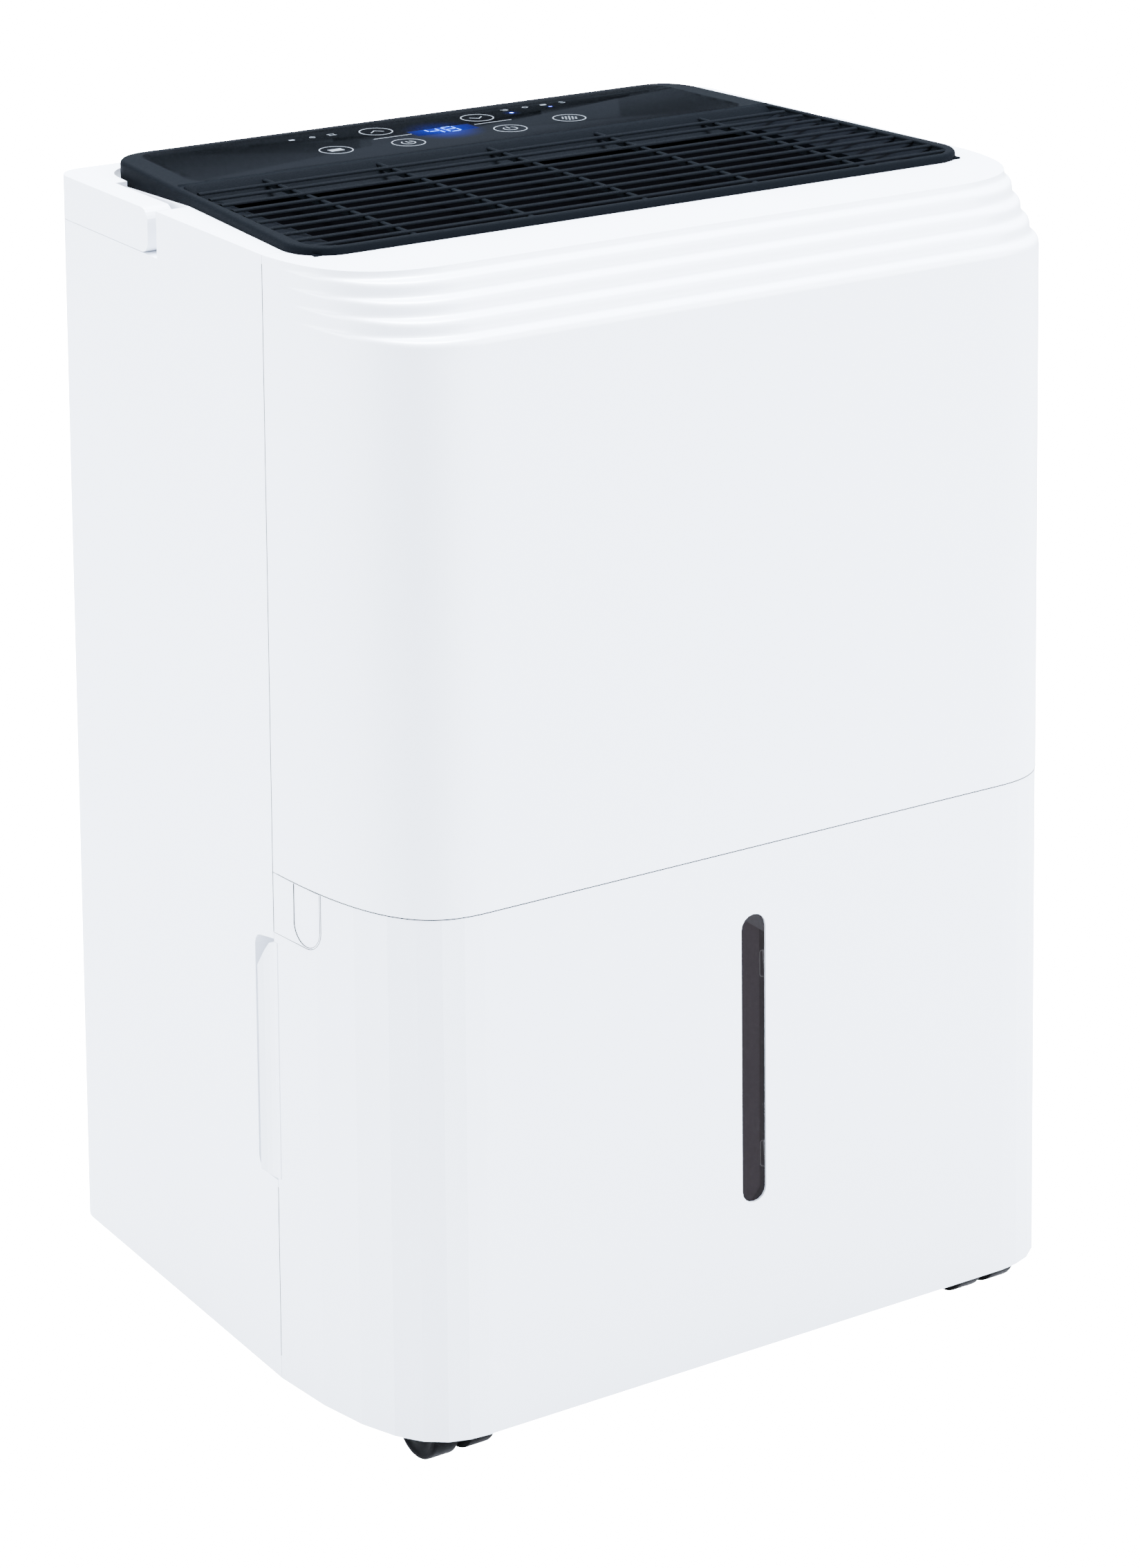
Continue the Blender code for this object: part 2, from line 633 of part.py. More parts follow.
def port_outline(grow=0.0):
    """Outline in YZ of the drain port panel, round at its lower front corner."""
    centre = PORT_CENTRE
    low, high = up(PORT_BOTTOM) - grow, up(MID_SEAM) + grow
    radius = PORT_HALF + grow
    outline = [(SEAM_Y + 2 * grow, high), (SEAM_Y + 2 * grow, low), (centre, low)]
    for i in range(1, ARC_STEPS + 1):
        angle = math.radians(270 - 90 * i / ARC_STEPS)
        outline.append((centre + radius * math.cos(angle), low + radius + radius * math.sin(angle)))
    outline.append((centre - radius, high))
    return outline


def u_outline(grow=0.0):
    """Outline in YZ of the removable drain port cover."""
    low, high = up(PORT_BOTTOM) + 0.0008 - grow, up(MID_SEAM)
    radius = PORT_HALF - 0.0008 + grow
    outline = [(PORT_CENTRE + radius, high)]
    for i in range(2 * ARC_STEPS + 1):
        angle = math.radians(-90 * i / ARC_STEPS)
        outline.append((PORT_CENTRE + radius * math.cos(angle), low + radius + radius * math.sin(angle)))
    outline.append((PORT_CENTRE - radius, high))
    return outline


def corner_skin(name, low, high, grow):
    """Curved skin of the left front corner, one wall thick."""
    rings = []
    for height in (low, high):
        outside = front_outline(height)[:9]
        inside = inset(front_outline(height), WALL + grow, closed=False)[:9]
        rings.append([(x, y, up(height)) for x, y in outside + inside[::-1]])
    return loft_mesh(name, rings)


def make_drain_port():
    panel = place("drain_port_panel",
                  corner_skin("drain_port_panel", PORT_BOTTOM - 0.01, MID_SEAM - 0.0002, 0.0), WHITE, 0.25)
    keep(panel, extrude_x("port_shape", port_outline(), -0.25, -0.17))
    cut(panel, block_mesh("port_seam", (-0.25, SEAM_Y - CLEARANCE, 0.0), (-0.1, 0.1, 0.4)))
    cut(panel, extrude_x("cover_hole", u_outline(CLEARANCE), -0.25, -0.17))
    cover = place("drain_port_cover",
                  corner_skin("drain_port_cover", PORT_BOTTOM - 0.01, MID_SEAM - 0.0004, 0.0), WHITE, 0.25)
    keep(cover, extrude_x("cover_shape", u_outline(), -0.25, -0.17))


def make_bucket_fittings():
    window = stadium(WINDOW_HALF - CLEARANCE, WINDOW_LOW + CLEARANCE, WINDOW_HIGH - CLEARANCE)
    pane = place("level_window", extrude_y("level_window", window, -0.25, -0.14), (0.06, 0.05, 0.055), 0.15)
    depth = []
    for height in (WINDOW_LOW - 0.01, WINDOW_HIGH + 0.01):
        face = -(TOP_HALF_DEPTH + spread(height)) + 0.0009
        depth.append([(x, face + y, up(height)) for x,
                      y in ((-0.02, 0.0), (0.02, 0.0), (0.02, 0.0014), (-0.02, 0.0014))])
    keep(pane, loft_mesh("window_depth", depth))
    arm_y, arm_z = -0.030, up(0.225)
    place("float_arm",
          extrude_y("float_arm", [(-0.150, arm_z), (-0.085, arm_z - 0.003), (-0.085, arm_z + 0.003),
                                               (-0.150, arm_z + 0.006)], arm_y - 0.006, arm_y + 0.006),
          (0.75, 0.75, 0.75))
    place("float", block_mesh("float", (-0.0847, arm_y - 0.020, arm_z - 0.022),
                              (-0.035, arm_y + 0.020, arm_z + 0.005), 0.003),
          (0.86, 0.86, 0.84))
    place("float_pivot", rod_mesh("float_pivot", 0.0025, (-0.1535, arm_y - 0.012, arm_z + 0.003),
                                  (-0.1535, arm_y + 0.012, arm_z + 0.003), 12), (0.5, 0.5, 0.52), 0.3, 1.0)


# ---- base and casters -------------------------------------------------------
def pan_outline(shrink):
    front = inset(front_outline(0.0), shrink, closed=False)
    back = inset(rear_outline(0.0), shrink, closed=False)
    return front + back[1:-1]


CASTERS = [("front_left", -CASTER_X, CASTER_FRONT_Y), ("front_right", CASTER_X, CASTER_FRONT_Y),
           ("rear_left", -CASTER_X, CASTER_REAR_Y), ("rear_right", CASTER_X, CASTER_REAR_Y)]


def make_base_pan():
    body = place("base_pan", prism_mesh("base_pan", pan_outline(WALL + 0.0030), up(PAN_BOTTOM), up(PAN_TOP)),
                 (0.04, 0.042, 0.046), 0.6)
    for name, x, y in CASTERS:
        add(body, rod_mesh("well_" + name, WELL_RADIUS + 0.0015, (x, y, up(PAN_BOTTOM) + 0.0002),
                           (x, y, up(WELL_TOP) + 0.0018), 20))
        cut(body, rod_mesh("well_room_" + name, WELL_RADIUS, (x, y, 0.0), (x, y, up(WELL_TOP)), 20))
    return body


def make_casters():
    for name, x, y in CASTERS:
        axle_y = y - WHEEL_TRAIL
        web = [(axle_y + 0.012 * math.cos(a), WHEEL_RADIUS + 0.012 * math.sin(a))
               for a in [math.radians(30 * i) for i in range(12)]]
        hood = place("caster_hood_" + name,
                     extrude_x("hood", web, x - WHEEL_IN + 0.0006, x + WHEEL_IN - 0.0006),
                     (0.012, 0.012, 0.015), 0.2)
        arc = [math.radians(-10 + 20 * i) for i in range(11)]
        reach = WHEEL_RADIUS + 0.0008
        fender = [(axle_y + (reach + 0.0016) * math.cos(a),
                   WHEEL_RADIUS + (reach + 0.0016) * math.sin(a)) for a in arc[:8]]
        fender += [(axle_y + reach * math.cos(a),
                    WHEEL_RADIUS + reach * math.sin(a)) for a in reversed(arc[:8])]
        add(hood, extrude_x("fender_" + name, fender, x - WHEEL_OUT + 0.0005, x + WHEEL_OUT - 0.0005))
        add(hood, block_mesh("neck_" + name, (x - WHEEL_IN + 0.0008, axle_y - 0.006, WHEEL_RADIUS + 0.006),
                             (x + WHEEL_IN - 0.0008, axle_y + 0.010, WHEEL_RADIUS + reach + 0.001)))
        add(hood, rod_mesh("stem_" + name, 0.0065, (x, y, WHEEL_RADIUS + reach),
                           (x, y, up(WELL_TOP) - CLEARANCE), 14))
        cut(hood, rod_mesh("axle_bore_" + name, 0.0025, (x - 0.02, axle_y, WHEEL_RADIUS),
                           (x + 0.02, axle_y, WHEEL_RADIUS), 12))
        rim, hub = WHEEL_RADIUS, 0.0021
        wheel = [(0, WHEEL_OUT), (rim - 0.0018, WHEEL_OUT), (rim, WHEEL_OUT - 0.0018),
                 (rim, WHEEL_IN + 0.001), (rim - 0.001, WHEEL_IN),
                 (hub, WHEEL_IN), (hub, -WHEEL_IN), (rim - 0.001, -WHEEL_IN), (rim, -WHEEL_IN - 0.001),
                 (rim, -WHEEL_OUT + 0.0018), (rim - 0.0018, -WHEEL_OUT), (0, -WHEEL_OUT)]
        turned("caster_wheels_" + name, wheel, (0.012, 0.012, 0.015), (x, axle_y, WHEEL_RADIUS),
               (0, math.radians(90), 0), 16)


# ---- refrigeration and air ---------------------------------------------------
def make_partition():
    deck = place("bay_partition",
                 block_mesh("bay_partition", (-0.186, -0.146, up(DECK_BOTTOM)), (0.186, 0.150, up(DECK_TOP))),
                 (0.80, 0.80, 0.80), 0.5)
    corner_trim = prism_mesh("deck_trim", inset(front_outline(MID_SEAM), 0.006,
                                                closed=False) + [(0.19, 0.16), (-0.19, 0.16)],
                             up(DECK_BOTTOM) - 0.01, up(DECK_TOP) + 0.01)
    keep(deck, corner_trim)
    add(deck, block_mesh("bay_wall", (-0.170, 0.002, up(PAN_TOP) + CLEARANCE),
                         (0.170, 0.0045, up(DECK_BOTTOM) + 0.001)))
    cut(deck, rod_mesh("drip_hole", 0.009, (0.05, -0.035, up(0.2)), (0.05, -0.035, up(0.3)), 14))
    cut(deck, block_mesh("pipe_gap", (-0.100, 0.054, up(0.2)), (-0.030, 0.078, up(0.3))))


def make_compressor():
    radius, floor, height = 0.056, up(PAN_TOP) + 0.016, 0.200
    can = [(0, floor + height), (radius * 0.5, floor + height - 0.003),
           (radius * 0.86, floor + height - 0.014),
           (radius, floor + height - 0.034), (radius, floor + 0.026), (radius * 0.88, floor + 0.008),
           (radius * 0.5, floor), (0, floor)]
    x, y = -0.045, 0.078
    turned("compressor", can, (0.018, 0.018, 0.02), (x, y, 0), steps=24, roughness=0.35, metallic=0.3)
    plate = place("compressor_plate", rod_mesh("compressor_plate", 0.070, (x, y, up(PAN_TOP) + 0.0122),
                                               (x, y, up(PAN_TOP) + 0.0157), 6), (0.03, 0.03, 0.032), 0.5,
                  0.6)
    for number, angle in enumerate((90, 210, 330), 1):
        a = math.radians(angle)
        spot = (x + 0.058 * math.cos(a), y + 0.058 * math.sin(a))
        foot = rod_mesh("foot", 0.0075, (*spot, up(PAN_TOP) + CLEARANCE), (*spot, up(PAN_TOP) + 0.0119), 10)
        place(f"compressor_foot_{number}", foot, (0.02, 0.02, 0.02), 0.8)
    return plate


def coil(name, front, back, teeth, colour, metallic):
    """Finned coil block: fins stand along Z, grooves open to both faces."""
    half, web = 0.128, (back - front) * 0.18
    middle = (front + back) / 2
    pitch = 2 * half / teeth
    outline = []
    for sign, row in ((-1, range(teeth)), (1, reversed(range(teeth)))):
        face = front if sign < 0 else back
        root = middle + sign * web
        for i in row:
            left, right = -half + i * pitch, -half + (i + 0.62) * pitch
            order = (left, right) if sign < 0 else (right, left)
            outline += [(order[0], root if i not in (0,) or sign > 0 else face), (order[0], face),
                        (order[1], face), (order[1], root)]
    clean = []
    for point in outline:
        if not clean or (Vector(point) - Vector(clean[-1])).length > 1e-6:
            clean.append(point)
    return place(name, prism_mesh(name, clean, up(0.288), up(0.502)), colour, 0.35, metallic)


def make_cooling():
    coil("evaporator", 0.112, 0.134, 10, (0.70, 0.72, 0.75), 0.9)
    coil("condenser", 0.080, 0.104, 10, (0.55, 0.56, 0.58), 0.9)
    tray = place("drip_tray", block_mesh("drip_tray", (-0.145, 0.072, up(DECK_TOP) + CLEARANCE),
                                         (0.145, 0.142, up(0.285))),
                 (0.80, 0.80, 0.80), 0.5)
    cut(tray, block_mesh("tray_inside", (-0.142, 0.075, up(DECK_TOP) + 0.003), (0.142, 0.139, up(0.30))))
    add(tray, block_mesh("tray_spout", (0.041, -0.046, up(DECK_TOP) + CLEARANCE), (0.059, 0.0735, up(0.279))))
    cut(tray, block_mesh("spout_channel", (0.0435, -0.0435, up(DECK_TOP) + 0.003), (0.0565, 0.080, up(0.30))))
    cut(tray, rod_mesh("spout_hole", 0.0055, (0.05, -0.035, up(0.25)), (0.05, -0.035, up(0.27)), 12))
    lane = 0.066
    pipe("suction_pipe", [(-0.075, lane, up(0.2190)), (-0.075, lane, up(0.295)), (-0.080, lane, up(0.303)),
                          (-0.1385, lane, up(0.328)), (-0.1400, lane, up(0.345)), (-0.1400, 0.123, up(0.392)),
                          (-0.1385, 0.123, up(0.400)), (-0.1283, 0.123, up(0.400))], 0.0048, COPPER)
    pipe("discharge_pipe", [(-0.045, lane, up(0.2222)), (-0.045, lane, up(0.289)), (-0.040, lane, up(0.294)),
                            (0.128, lane, up(0.305)), (0.132, 0.071, up(0.307)), (0.132, 0.090, up(0.318)),
                            (0.129, 0.092, up(0.320)), (0.1223, 0.092, up(0.320))], 0.0032, COPPER)


def spiral(start_radius, end_radius, wall, steps=20):
    """Blower scroll outline in XZ, opening upward into its throat."""
    points = []
    for i in range(steps + 1):
        t = i / steps
        angle = math.radians(30 - 300 * t)
        radius = start_radius + (end_radius - start_radius) * t - wall
        points.append((radius * math.cos(angle), up(FAN_Z) + radius * math.sin(angle)))
    return points


def make_fan():
    front, back = -0.022, 0.058
    outer = spiral(0.080, 0.098, 0.0) + [(-0.098 + 0.0, TOP - 0.010), (0.062, TOP - 0.010)]
    scroll = place("fan_scroll", extrude_y("fan_scroll", outer, front, back), (0.80, 0.80, 0.80), 0.5)
    inner = spiral(0.080, 0.098, 0.0025) + [(-0.0955, TOP + 0.02), (0.0595, TOP + 0.02)]
    cut(scroll, extrude_y("scroll_inside", inner, front + 0.0025, back - 0.0025))
    cut(scroll, rod_mesh("inlet", 0.055, (0, 0, up(FAN_Z)), (0, 0.1, up(FAN_Z)), 24))
    cut(scroll, rod_mesh("motor_hole", 0.012, (0, -0.1, up(FAN_Z)), (0, 0, up(FAN_Z)), 16))
    add(scroll, *[block_mesh("scroll_foot", (x - 0.006, front + 0.01, up(DECK_TOP) + CLEARANCE),
                             (x + 0.006, back - 0.01, up(0.3222)))
                  for x in (-0.030, 0.030)])
    disc = [(0, 0.0), (0.008, 0.0), (0.008, -0.016), (FAN_RADIUS, -0.020), (FAN_RADIUS, -0.0225),
            (0.008, -0.0215),
            (0.008, -0.026), (0, -0.026)]
    wheel = turned("blower_wheel", disc, (0.05, 0.05, 0.055), (0, 0.011, up(FAN_Z)),
                   (math.radians(-90), 0, 0), 24)
    blades = []
    for i in range(12):
        blade = block_mesh("blade", (FAN_RADIUS - 0.013, -0.0006, -0.0218),
                           (FAN_RADIUS - 0.0015, 0.0006, 0.032))
        blade.transform(Matrix.Rotation(math.radians(30 * i), 4, "Z"))
        blades.append(blade)
    ring = rod_mesh("blade_ring", FAN_RADIUS, (0, 0, 0.0315), (0, 0, 0.0345), 24)
    vanes = as_cutter("vanes", joined_mesh("vanes", blades))
    band = as_cutter("band", ring)
    combine(band, as_cutter("band_hole", rod_mesh("band_hole", FAN_RADIUS - 0.015, (0, 0, 0.02), (0, 0, 0.05),
                                                  24)), "DIFFERENCE")
    for other in (vanes, band):
        other.matrix_world = Matrix.Translation((0, 0.011, up(FAN_Z))) @ Matrix.Rotation(math.radians(-90), 4,
                                                                                         "X")
        combine(wheel, other, "UNION")
    motor = [(0, 0.0), (0.026, 0.0), (0.030, -0.004), (0.030, -0.036), (0.026, -0.040), (0, -0.040)]
    turned("fan_motor", motor, (0.35, 0.36, 0.38), (0, -0.0295, up(FAN_Z)), (math.radians(-90), 0, 0), 20,
           0.35, 0.7)
    bracket = place("motor_bracket", block_mesh("motor_bracket", (-0.075, -0.0290, up(DECK_TOP) + CLEARANCE),
                                                (0.075, -0.0225, up(FAN_Z) + 0.035)), (0.6, 0.6, 0.62), 0.35,
                    0.8)
    cut(bracket, block_mesh("spout_gap", (0.039, -0.1, up(0.2)), (0.061, 0.1, up(0.2815))))
    cut(bracket, rod_mesh("bracket_bore", 0.012, (0, -0.1, up(FAN_Z)), (0, 0.1, up(FAN_Z)), 16))


def make_electrics():
    place("power_box", block_mesh("power_box", (0.095, -0.120, up(DECK_TOP) + CLEARANCE),
                                  (0.170, -0.040, up(0.40)), 0.002),
          (0.72, 0.72, 0.72), 0.5)
    place("run_capacitor", rod_mesh("run_capacitor", 0.019, (-0.130, -0.085, up(DECK_TOP) + CLEARANCE),
                                    (-0.130, -0.085, up(0.345)), 18), (0.62, 0.63, 0.65), 0.3, 0.8)
    place("bucket_switch", block_mesh("bucket_switch", (-0.125, -0.010, up(DECK_BOTTOM) - 0.010),
                                      (-0.095, -0.0005, up(DECK_BOTTOM) - CLEARANCE)), (0.02, 0.02, 0.02),
          0.5)
    place("humidity_sensor",
          block_mesh("humidity_sensor", (0.146, 0.120, up(0.44)), (0.160, 0.138, up(0.47)), 0.001),
          (0.85, 0.85, 0.85), 0.5)


# ---- rear fittings --------------------------------------------------------------
def sloped_plate(name, half, low, high, front, back):
    """Upright plate that follows the leaning rear wall."""
    rings = []
    for height in (low, high):
        face = rear_face(height)
        rings.append([(x, face + y, up(height)) for x,
                      y in ((-half, front), (half, front), (half, back), (-half, back))])
    return loft_mesh(name, rings)


def make_intake():
    gap = 0.0006
    low, high, half = INTAKE_LOW + gap, INTAKE_HIGH - gap, INTAKE_HALF - gap
    grille = place("rear_grille", sloped_plate("rear_grille", half, low, high, -0.0100, -0.0010), WHITE, 0.3)
    cut(grille, sloped_plate("grille_inside", half - 0.003, low + 0.003, high - 0.003, -0.02, -0.0035))
    slots = []
    rows, columns = 14, 3
    row_pitch = (high - low - 0.020) / rows
    column_pitch = (2 * half - 0.020) / columns
    for r in range(rows):
        for c in range(columns):
            left = -half + 0.010 + c * column_pitch + 0.002
            bottom = up(low) + 0.010 + r * row_pitch + 0.0025
            slots.append(block_mesh("slot", (left, 0.13, bottom),
                                    (left + column_pitch - 0.004, 0.18, bottom + row_pitch - 0.005)))
    cut(grille, joined_mesh("grille_slots", slots))
    mesh = place("air_filter",
                 sloped_plate("air_filter", half - 0.0035, low + 0.0035, high - 0.0035, -0.0090, -0.0040),
                 (0.10, 0.11, 0.12), 0.8)
    windows = []
    for c in range(3):
        for r in range(2):
            left = -half + 0.0085 + c * (2 * half - 0.012) / 3
            bottom = low + 0.0085 + r * (high - low - 0.012) / 2
            right = left + (2 * half - 0.012) / 3 - 0.004
            top = bottom + (high - low - 0.012) / 2 - 0.004
            rings = []
            for height in (bottom, top):
                face = rear_face(height)
                rings.append([(x, face + y, up(height)) for x,
                              y in ((left, -0.02), (right, -0.02), (right, -0.0062), (left, -0.0062))])
            windows.append(loft_mesh("filter_field", rings))
    cut(mesh, joined_mesh("filter_fields", windows))


def make_rear_fittings():
    wall = rear_face(DRAIN_HEIGHT) - DRAIN_DEPTH
    spigot = [(0.0060, 0.0100), (0.0085, 0.0100), (0.0085, 0.0022), (0.0130, 0.0022), (0.0130, 0.0003),
              (0.0098, 0.0003), (0.0098, -0.0120), (0.0060, -0.0120), (0.0060, 0.0100)]
    turned("drain_spigot", spigot, (0.80, 0.80, 0.80), (DRAIN_X, wall, up(DRAIN_HEIGHT)),
           (math.radians(-90), 0, 0), 20,
           flip=True)
    cap = [(0, 0.0140), (0.0100, 0.0140), (0.0108, 0.0132), (0.0108, 0.0040), (0.0089, 0.0040),
           (0.0089, 0.0105),
           (0, 0.0105)]
    turned("drain_cap", cap, (0.80, 0.80, 0.80), (DRAIN_X, wall, up(DRAIN_HEIGHT)), (math.radians(-90), 0, 0),
           20,
           flip=True)
    inlet_wall = rear_face(CORD_HEIGHT) - CORD_DEPTH
    inlet = [(0, 0.0060), (0.0060, 0.0060), (0.0095, 0.0045), (0.0110, 0.0020), (0.0110, 0.0003),
             (0.0078, 0.0003),
             (0.0078, -0.0100), (0, -0.0100)]
    turned("cord_inlet", inlet, (0.02, 0.02, 0.022), (CORD_X, inlet_wall, up(CORD_HEIGHT)),
           (math.radians(-90), 0, 0), 16, flip=True)
    for name, x, height in (("lower_left", -0.165, 0.15), ("lower_right", 0.165, 0.15),
                            ("upper_left", -0.165, 0.26), ("upper_right", 0.165, 0.26)):
        face = rear_face(height)
        head = rod_mesh("head", 0.0036, (x, face + CLEARANCE, up(height)), (x, face + 0.0018, up(height)), 10)
        place("screw_" + name, head, (0.6, 0.6, 0.62), 0.3, 1.0)


def shade_smooth():
    for body in parts.objects:
        if body.type == "MESH":
            body.data.shade_smooth()
            body.data.set_sharp_from_angle(angle=math.radians(35))


make_rear_shell()
make_front_shell()
make_top_panel()
make_controls()
make_handle()
make_bucket()
make_drain_port()
make_bucket_fittings()
make_base_pan()
make_casters()
make_partition()
make_compressor()
make_cooling()
make_fan()
make_electrics()
make_intake()
make_rear_fittings()
shade_smooth()
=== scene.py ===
"""Visual model of a free-standing dehumidifier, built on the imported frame."""
import math

import bmesh
import bpy
from mathutils import Matrix, Vector


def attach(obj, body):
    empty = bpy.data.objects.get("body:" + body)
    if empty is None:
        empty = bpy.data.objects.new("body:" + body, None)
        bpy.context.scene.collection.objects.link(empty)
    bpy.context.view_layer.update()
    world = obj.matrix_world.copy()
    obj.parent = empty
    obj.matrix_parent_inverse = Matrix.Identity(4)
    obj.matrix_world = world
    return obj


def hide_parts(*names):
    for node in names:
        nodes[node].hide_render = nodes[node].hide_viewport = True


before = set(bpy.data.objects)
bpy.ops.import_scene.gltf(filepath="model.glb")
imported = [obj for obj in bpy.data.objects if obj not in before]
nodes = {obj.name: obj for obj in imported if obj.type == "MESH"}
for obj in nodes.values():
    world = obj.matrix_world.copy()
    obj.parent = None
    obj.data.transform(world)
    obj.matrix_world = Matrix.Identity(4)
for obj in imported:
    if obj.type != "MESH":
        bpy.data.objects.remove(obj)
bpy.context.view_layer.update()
scene = bpy.context.scene

# ---- dimensions shared with the CAD, in metres ----------------------------------------
GROUND = 0.020
CASE_HEIGHT = 0.5459
TOP = GROUND + CASE_HEIGHT
HALF_WIDTH = 0.195
HALF_DEPTH = 0.1543
DRAFT = 0.0091
SEAM_Y = -0.0598
MID_SEAM = 0.2583
RIPPLE_BOTTOM = 0.5171
RIPPLE_SETBACK = 0.0305
RIPPLES = 4
RIPPLE_DEPTH = 0.68
CORNER_WIDTH = 0.0616
TOP_CORNER_WIDTH = 0.070
CORNER_LEAN = 0.0377
WALL = 0.0025
GAP = 0.0003
GRIP_FOOT, GRIP_HEAD = 0.100, 0.2290     # the side joints stop at the finger lips
PORT_CENTRE, PORT_BOTTOM, PORT_HALF = -0.0866, 0.2290, 0.0105

PANEL_FRONT, PANEL_REAR = -0.0801, 0.1432
PANEL_FRONT_HALF, PANEL_REAR_HALF = 0.1856, 0.1629
PANEL_CORNER = 0.020
PANEL_RISE_FRONT, PANEL_RISE_REAR = 0.0037, 0.0058
PANEL_SKIRT, PANEL_FOOT_DROP = 0.0025, 0.0064

WINDOW_FRONT, WINDOW_REAR = -0.0765, 0.0655
BLADES = 10
BLADE_FIRST, BLADE_LAST = 0.0490, -0.0690
RIBS = (-0.124, -0.062, 0.0, 0.062, 0.124)
LEDGE = 0.150

DISPLAY = (0.0, 0.1032)


# ---- materials ------------------------------------------------------------------------
def material(name, colour, roughness, metallic=0.0, bump=0.0, bump_scale=900.0, coat=0.0, mottling=0.02,
             roughness_span=0.08, specular=0.5):
    """Moulded or painted surface: slight colour mottling, uneven roughness and fine bump."""
    made = bpy.data.materials.new(name)
    made.use_nodes = True
    tree = made.node_tree
    shader = tree.nodes["Principled BSDF"]
    place = tree.nodes.new("ShaderNodeTexCoord")
    cloud = tree.nodes.new("ShaderNodeTexNoise")
    cloud.inputs["Scale"].default_value = 14.0
    cloud.inputs["Detail"].default_value = 3.0
    tree.links.new(place.outputs["Object"], cloud.inputs["Vector"])
    tint = tree.nodes.new("ShaderNodeMix")
    tint.data_type = "RGBA"
    tint.inputs["A"].default_value = (*[c * (1 - mottling) for c in colour], 1)
    tint.inputs["B"].default_value = (*[min(1.0, c * (1 + mottling)) for c in colour], 1)
    tree.links.new(cloud.outputs["Fac"], tint.inputs["Factor"])
    tree.links.new(tint.outputs["Result"], shader.inputs["Base Color"])
    spread = tree.nodes.new("ShaderNodeMapRange")
    spread.inputs["To Min"].default_value = max(0.02, roughness - roughness_span / 2)
    spread.inputs["To Max"].default_value = roughness + roughness_span / 2
    tree.links.new(cloud.outputs["Fac"], spread.inputs["Value"])
    tree.links.new(spread.outputs["Result"], shader.inputs["Roughness"])
    shader.inputs["Metallic"].default_value = metallic
    shader.inputs["Specular IOR Level"].default_value = specular
    shader.inputs["Coat Weight"].default_value = coat
    shader.inputs["Coat Roughness"].default_value = 0.12
    if bump:
        grain = tree.nodes.new("ShaderNodeTexNoise")
        grain.inputs["Scale"].default_value = bump_scale
        grain.inputs["Detail"].default_value = 2.0
        tree.links.new(place.outputs["Object"], grain.inputs["Vector"])
        relief = tree.nodes.new("ShaderNodeBump")
        relief.inputs["Strength"].default_value = bump
        relief.inputs["Distance"].default_value = 0.0004
        tree.links.new(grain.outputs["Fac"], relief.inputs["Height"])
        tree.links.new(relief.outputs["Normal"], shader.inputs["Normal"])
    return made


def glowing(name, colour, strength):
    made = bpy.data.materials.new(name)
    made.use_nodes = True
    shader = made.node_tree.nodes["Principled BSDF"]
    shader.inputs["Base Color"].default_value = (*[c * 0.4 for c in colour], 1)
    shader.inputs["Roughness"].default_value = 0.4
    shader.inputs["Emission Color"].default_value = (*colour, 1)
    shader.inputs["Emission Strength"].default_value = strength
    return made


def add_glow(made, spots, colour):
    """Light bleeding through the film around lit segments: (x, y, reach x, reach y, strength)."""
    tree = made.node_tree
    shader = tree.nodes["Principled BSDF"]
    place = tree.nodes["Texture Coordinate"]
    total = None
    for x, y, reach_x, reach_y, strength in spots:
        shift = tree.nodes.new("ShaderNodeMapping")
        shift.inputs["Scale"].default_value = (1 / reach_x, 1 / reach_y, 0.0)
        shift.inputs["Location"].default_value = (-x / reach_x, -y / reach_y, 0.0)
        tree.links.new(place.outputs["Object"], shift.inputs["Vector"])
        ball = tree.nodes.new("ShaderNodeTexGradient")
        ball.gradient_type = "QUADRATIC_SPHERE"
        tree.links.new(shift.outputs["Vector"], ball.inputs["Vector"])
        gain = tree.nodes.new("ShaderNodeMath")
        gain.operation = "MULTIPLY"
        gain.inputs[1].default_value = strength
        tree.links.new(ball.outputs["Fac"], gain.inputs[0])
        if total is None:
            total = gain
        else:
            both = tree.nodes.new("ShaderNodeMath")
            tree.links.new(total.outputs[0], both.inputs[0])
            tree.links.new(gain.outputs[0], both.inputs[1])
            total = both
    shader.inputs["Emission Color"].default_value = (*colour, 1)
    tree.links.new(total.outputs[0], shader.inputs["Emission Strength"])


WHITE = (0.76, 0.785, 0.84)
CHARCOAL = (0.0018, 0.0023, 0.0030)
white = material("white_abs", WHITE, 0.34, bump=0.05, bump_scale=1500, coat=0.15, mottling=0.012)
white_bucket = material("white_bucket", (0.745, 0.77, 0.825), 0.32, bump=0.05, bump_scale=1500, coat=0.15,
                        mottling=0.012)
charcoal = material("charcoal_texture", CHARCOAL, 0.60, bump=0.35, bump_scale=2600, mottling=0.10,
                    specular=0.006)
film = material("control_film", (0.0019, 0.0024, 0.0031), 0.62, bump=0.12,
                bump_scale=3200, mottling=0.03, specular=0.005)
ledge_grey = material("ledge_grey", (0.0011, 0.0015, 0.0022), 0.6, bump=0.3, bump_scale=2600,
                       mottling=0.10, specular=0.006)
gloss_black = material("gloss_black", (0.0006, 0.0006, 0.0009), 0.25, bump=0.02, specular=0.03)
# black of the inner parts; the same black is painted shade on the outlet duct floor
inner_black_and_shade = material("inner_black_and_shade", (0.0004, 0.0004, 0.0005), 0.8, bump=0.2, mottling=0.15, specular=0.0)
base_black = material("base_black", (0.004, 0.0042, 0.0048), 0.6, bump=0.3, mottling=0.12, specular=0.1)
steel = material("steel", (0.58, 0.58, 0.60), 0.28, metallic=1.0, bump=0.05, mottling=0.05)
painted = material("black_enamel", (0.014, 0.014, 0.016), 0.3, coat=0.3, bump=0.12, bump_scale=500)
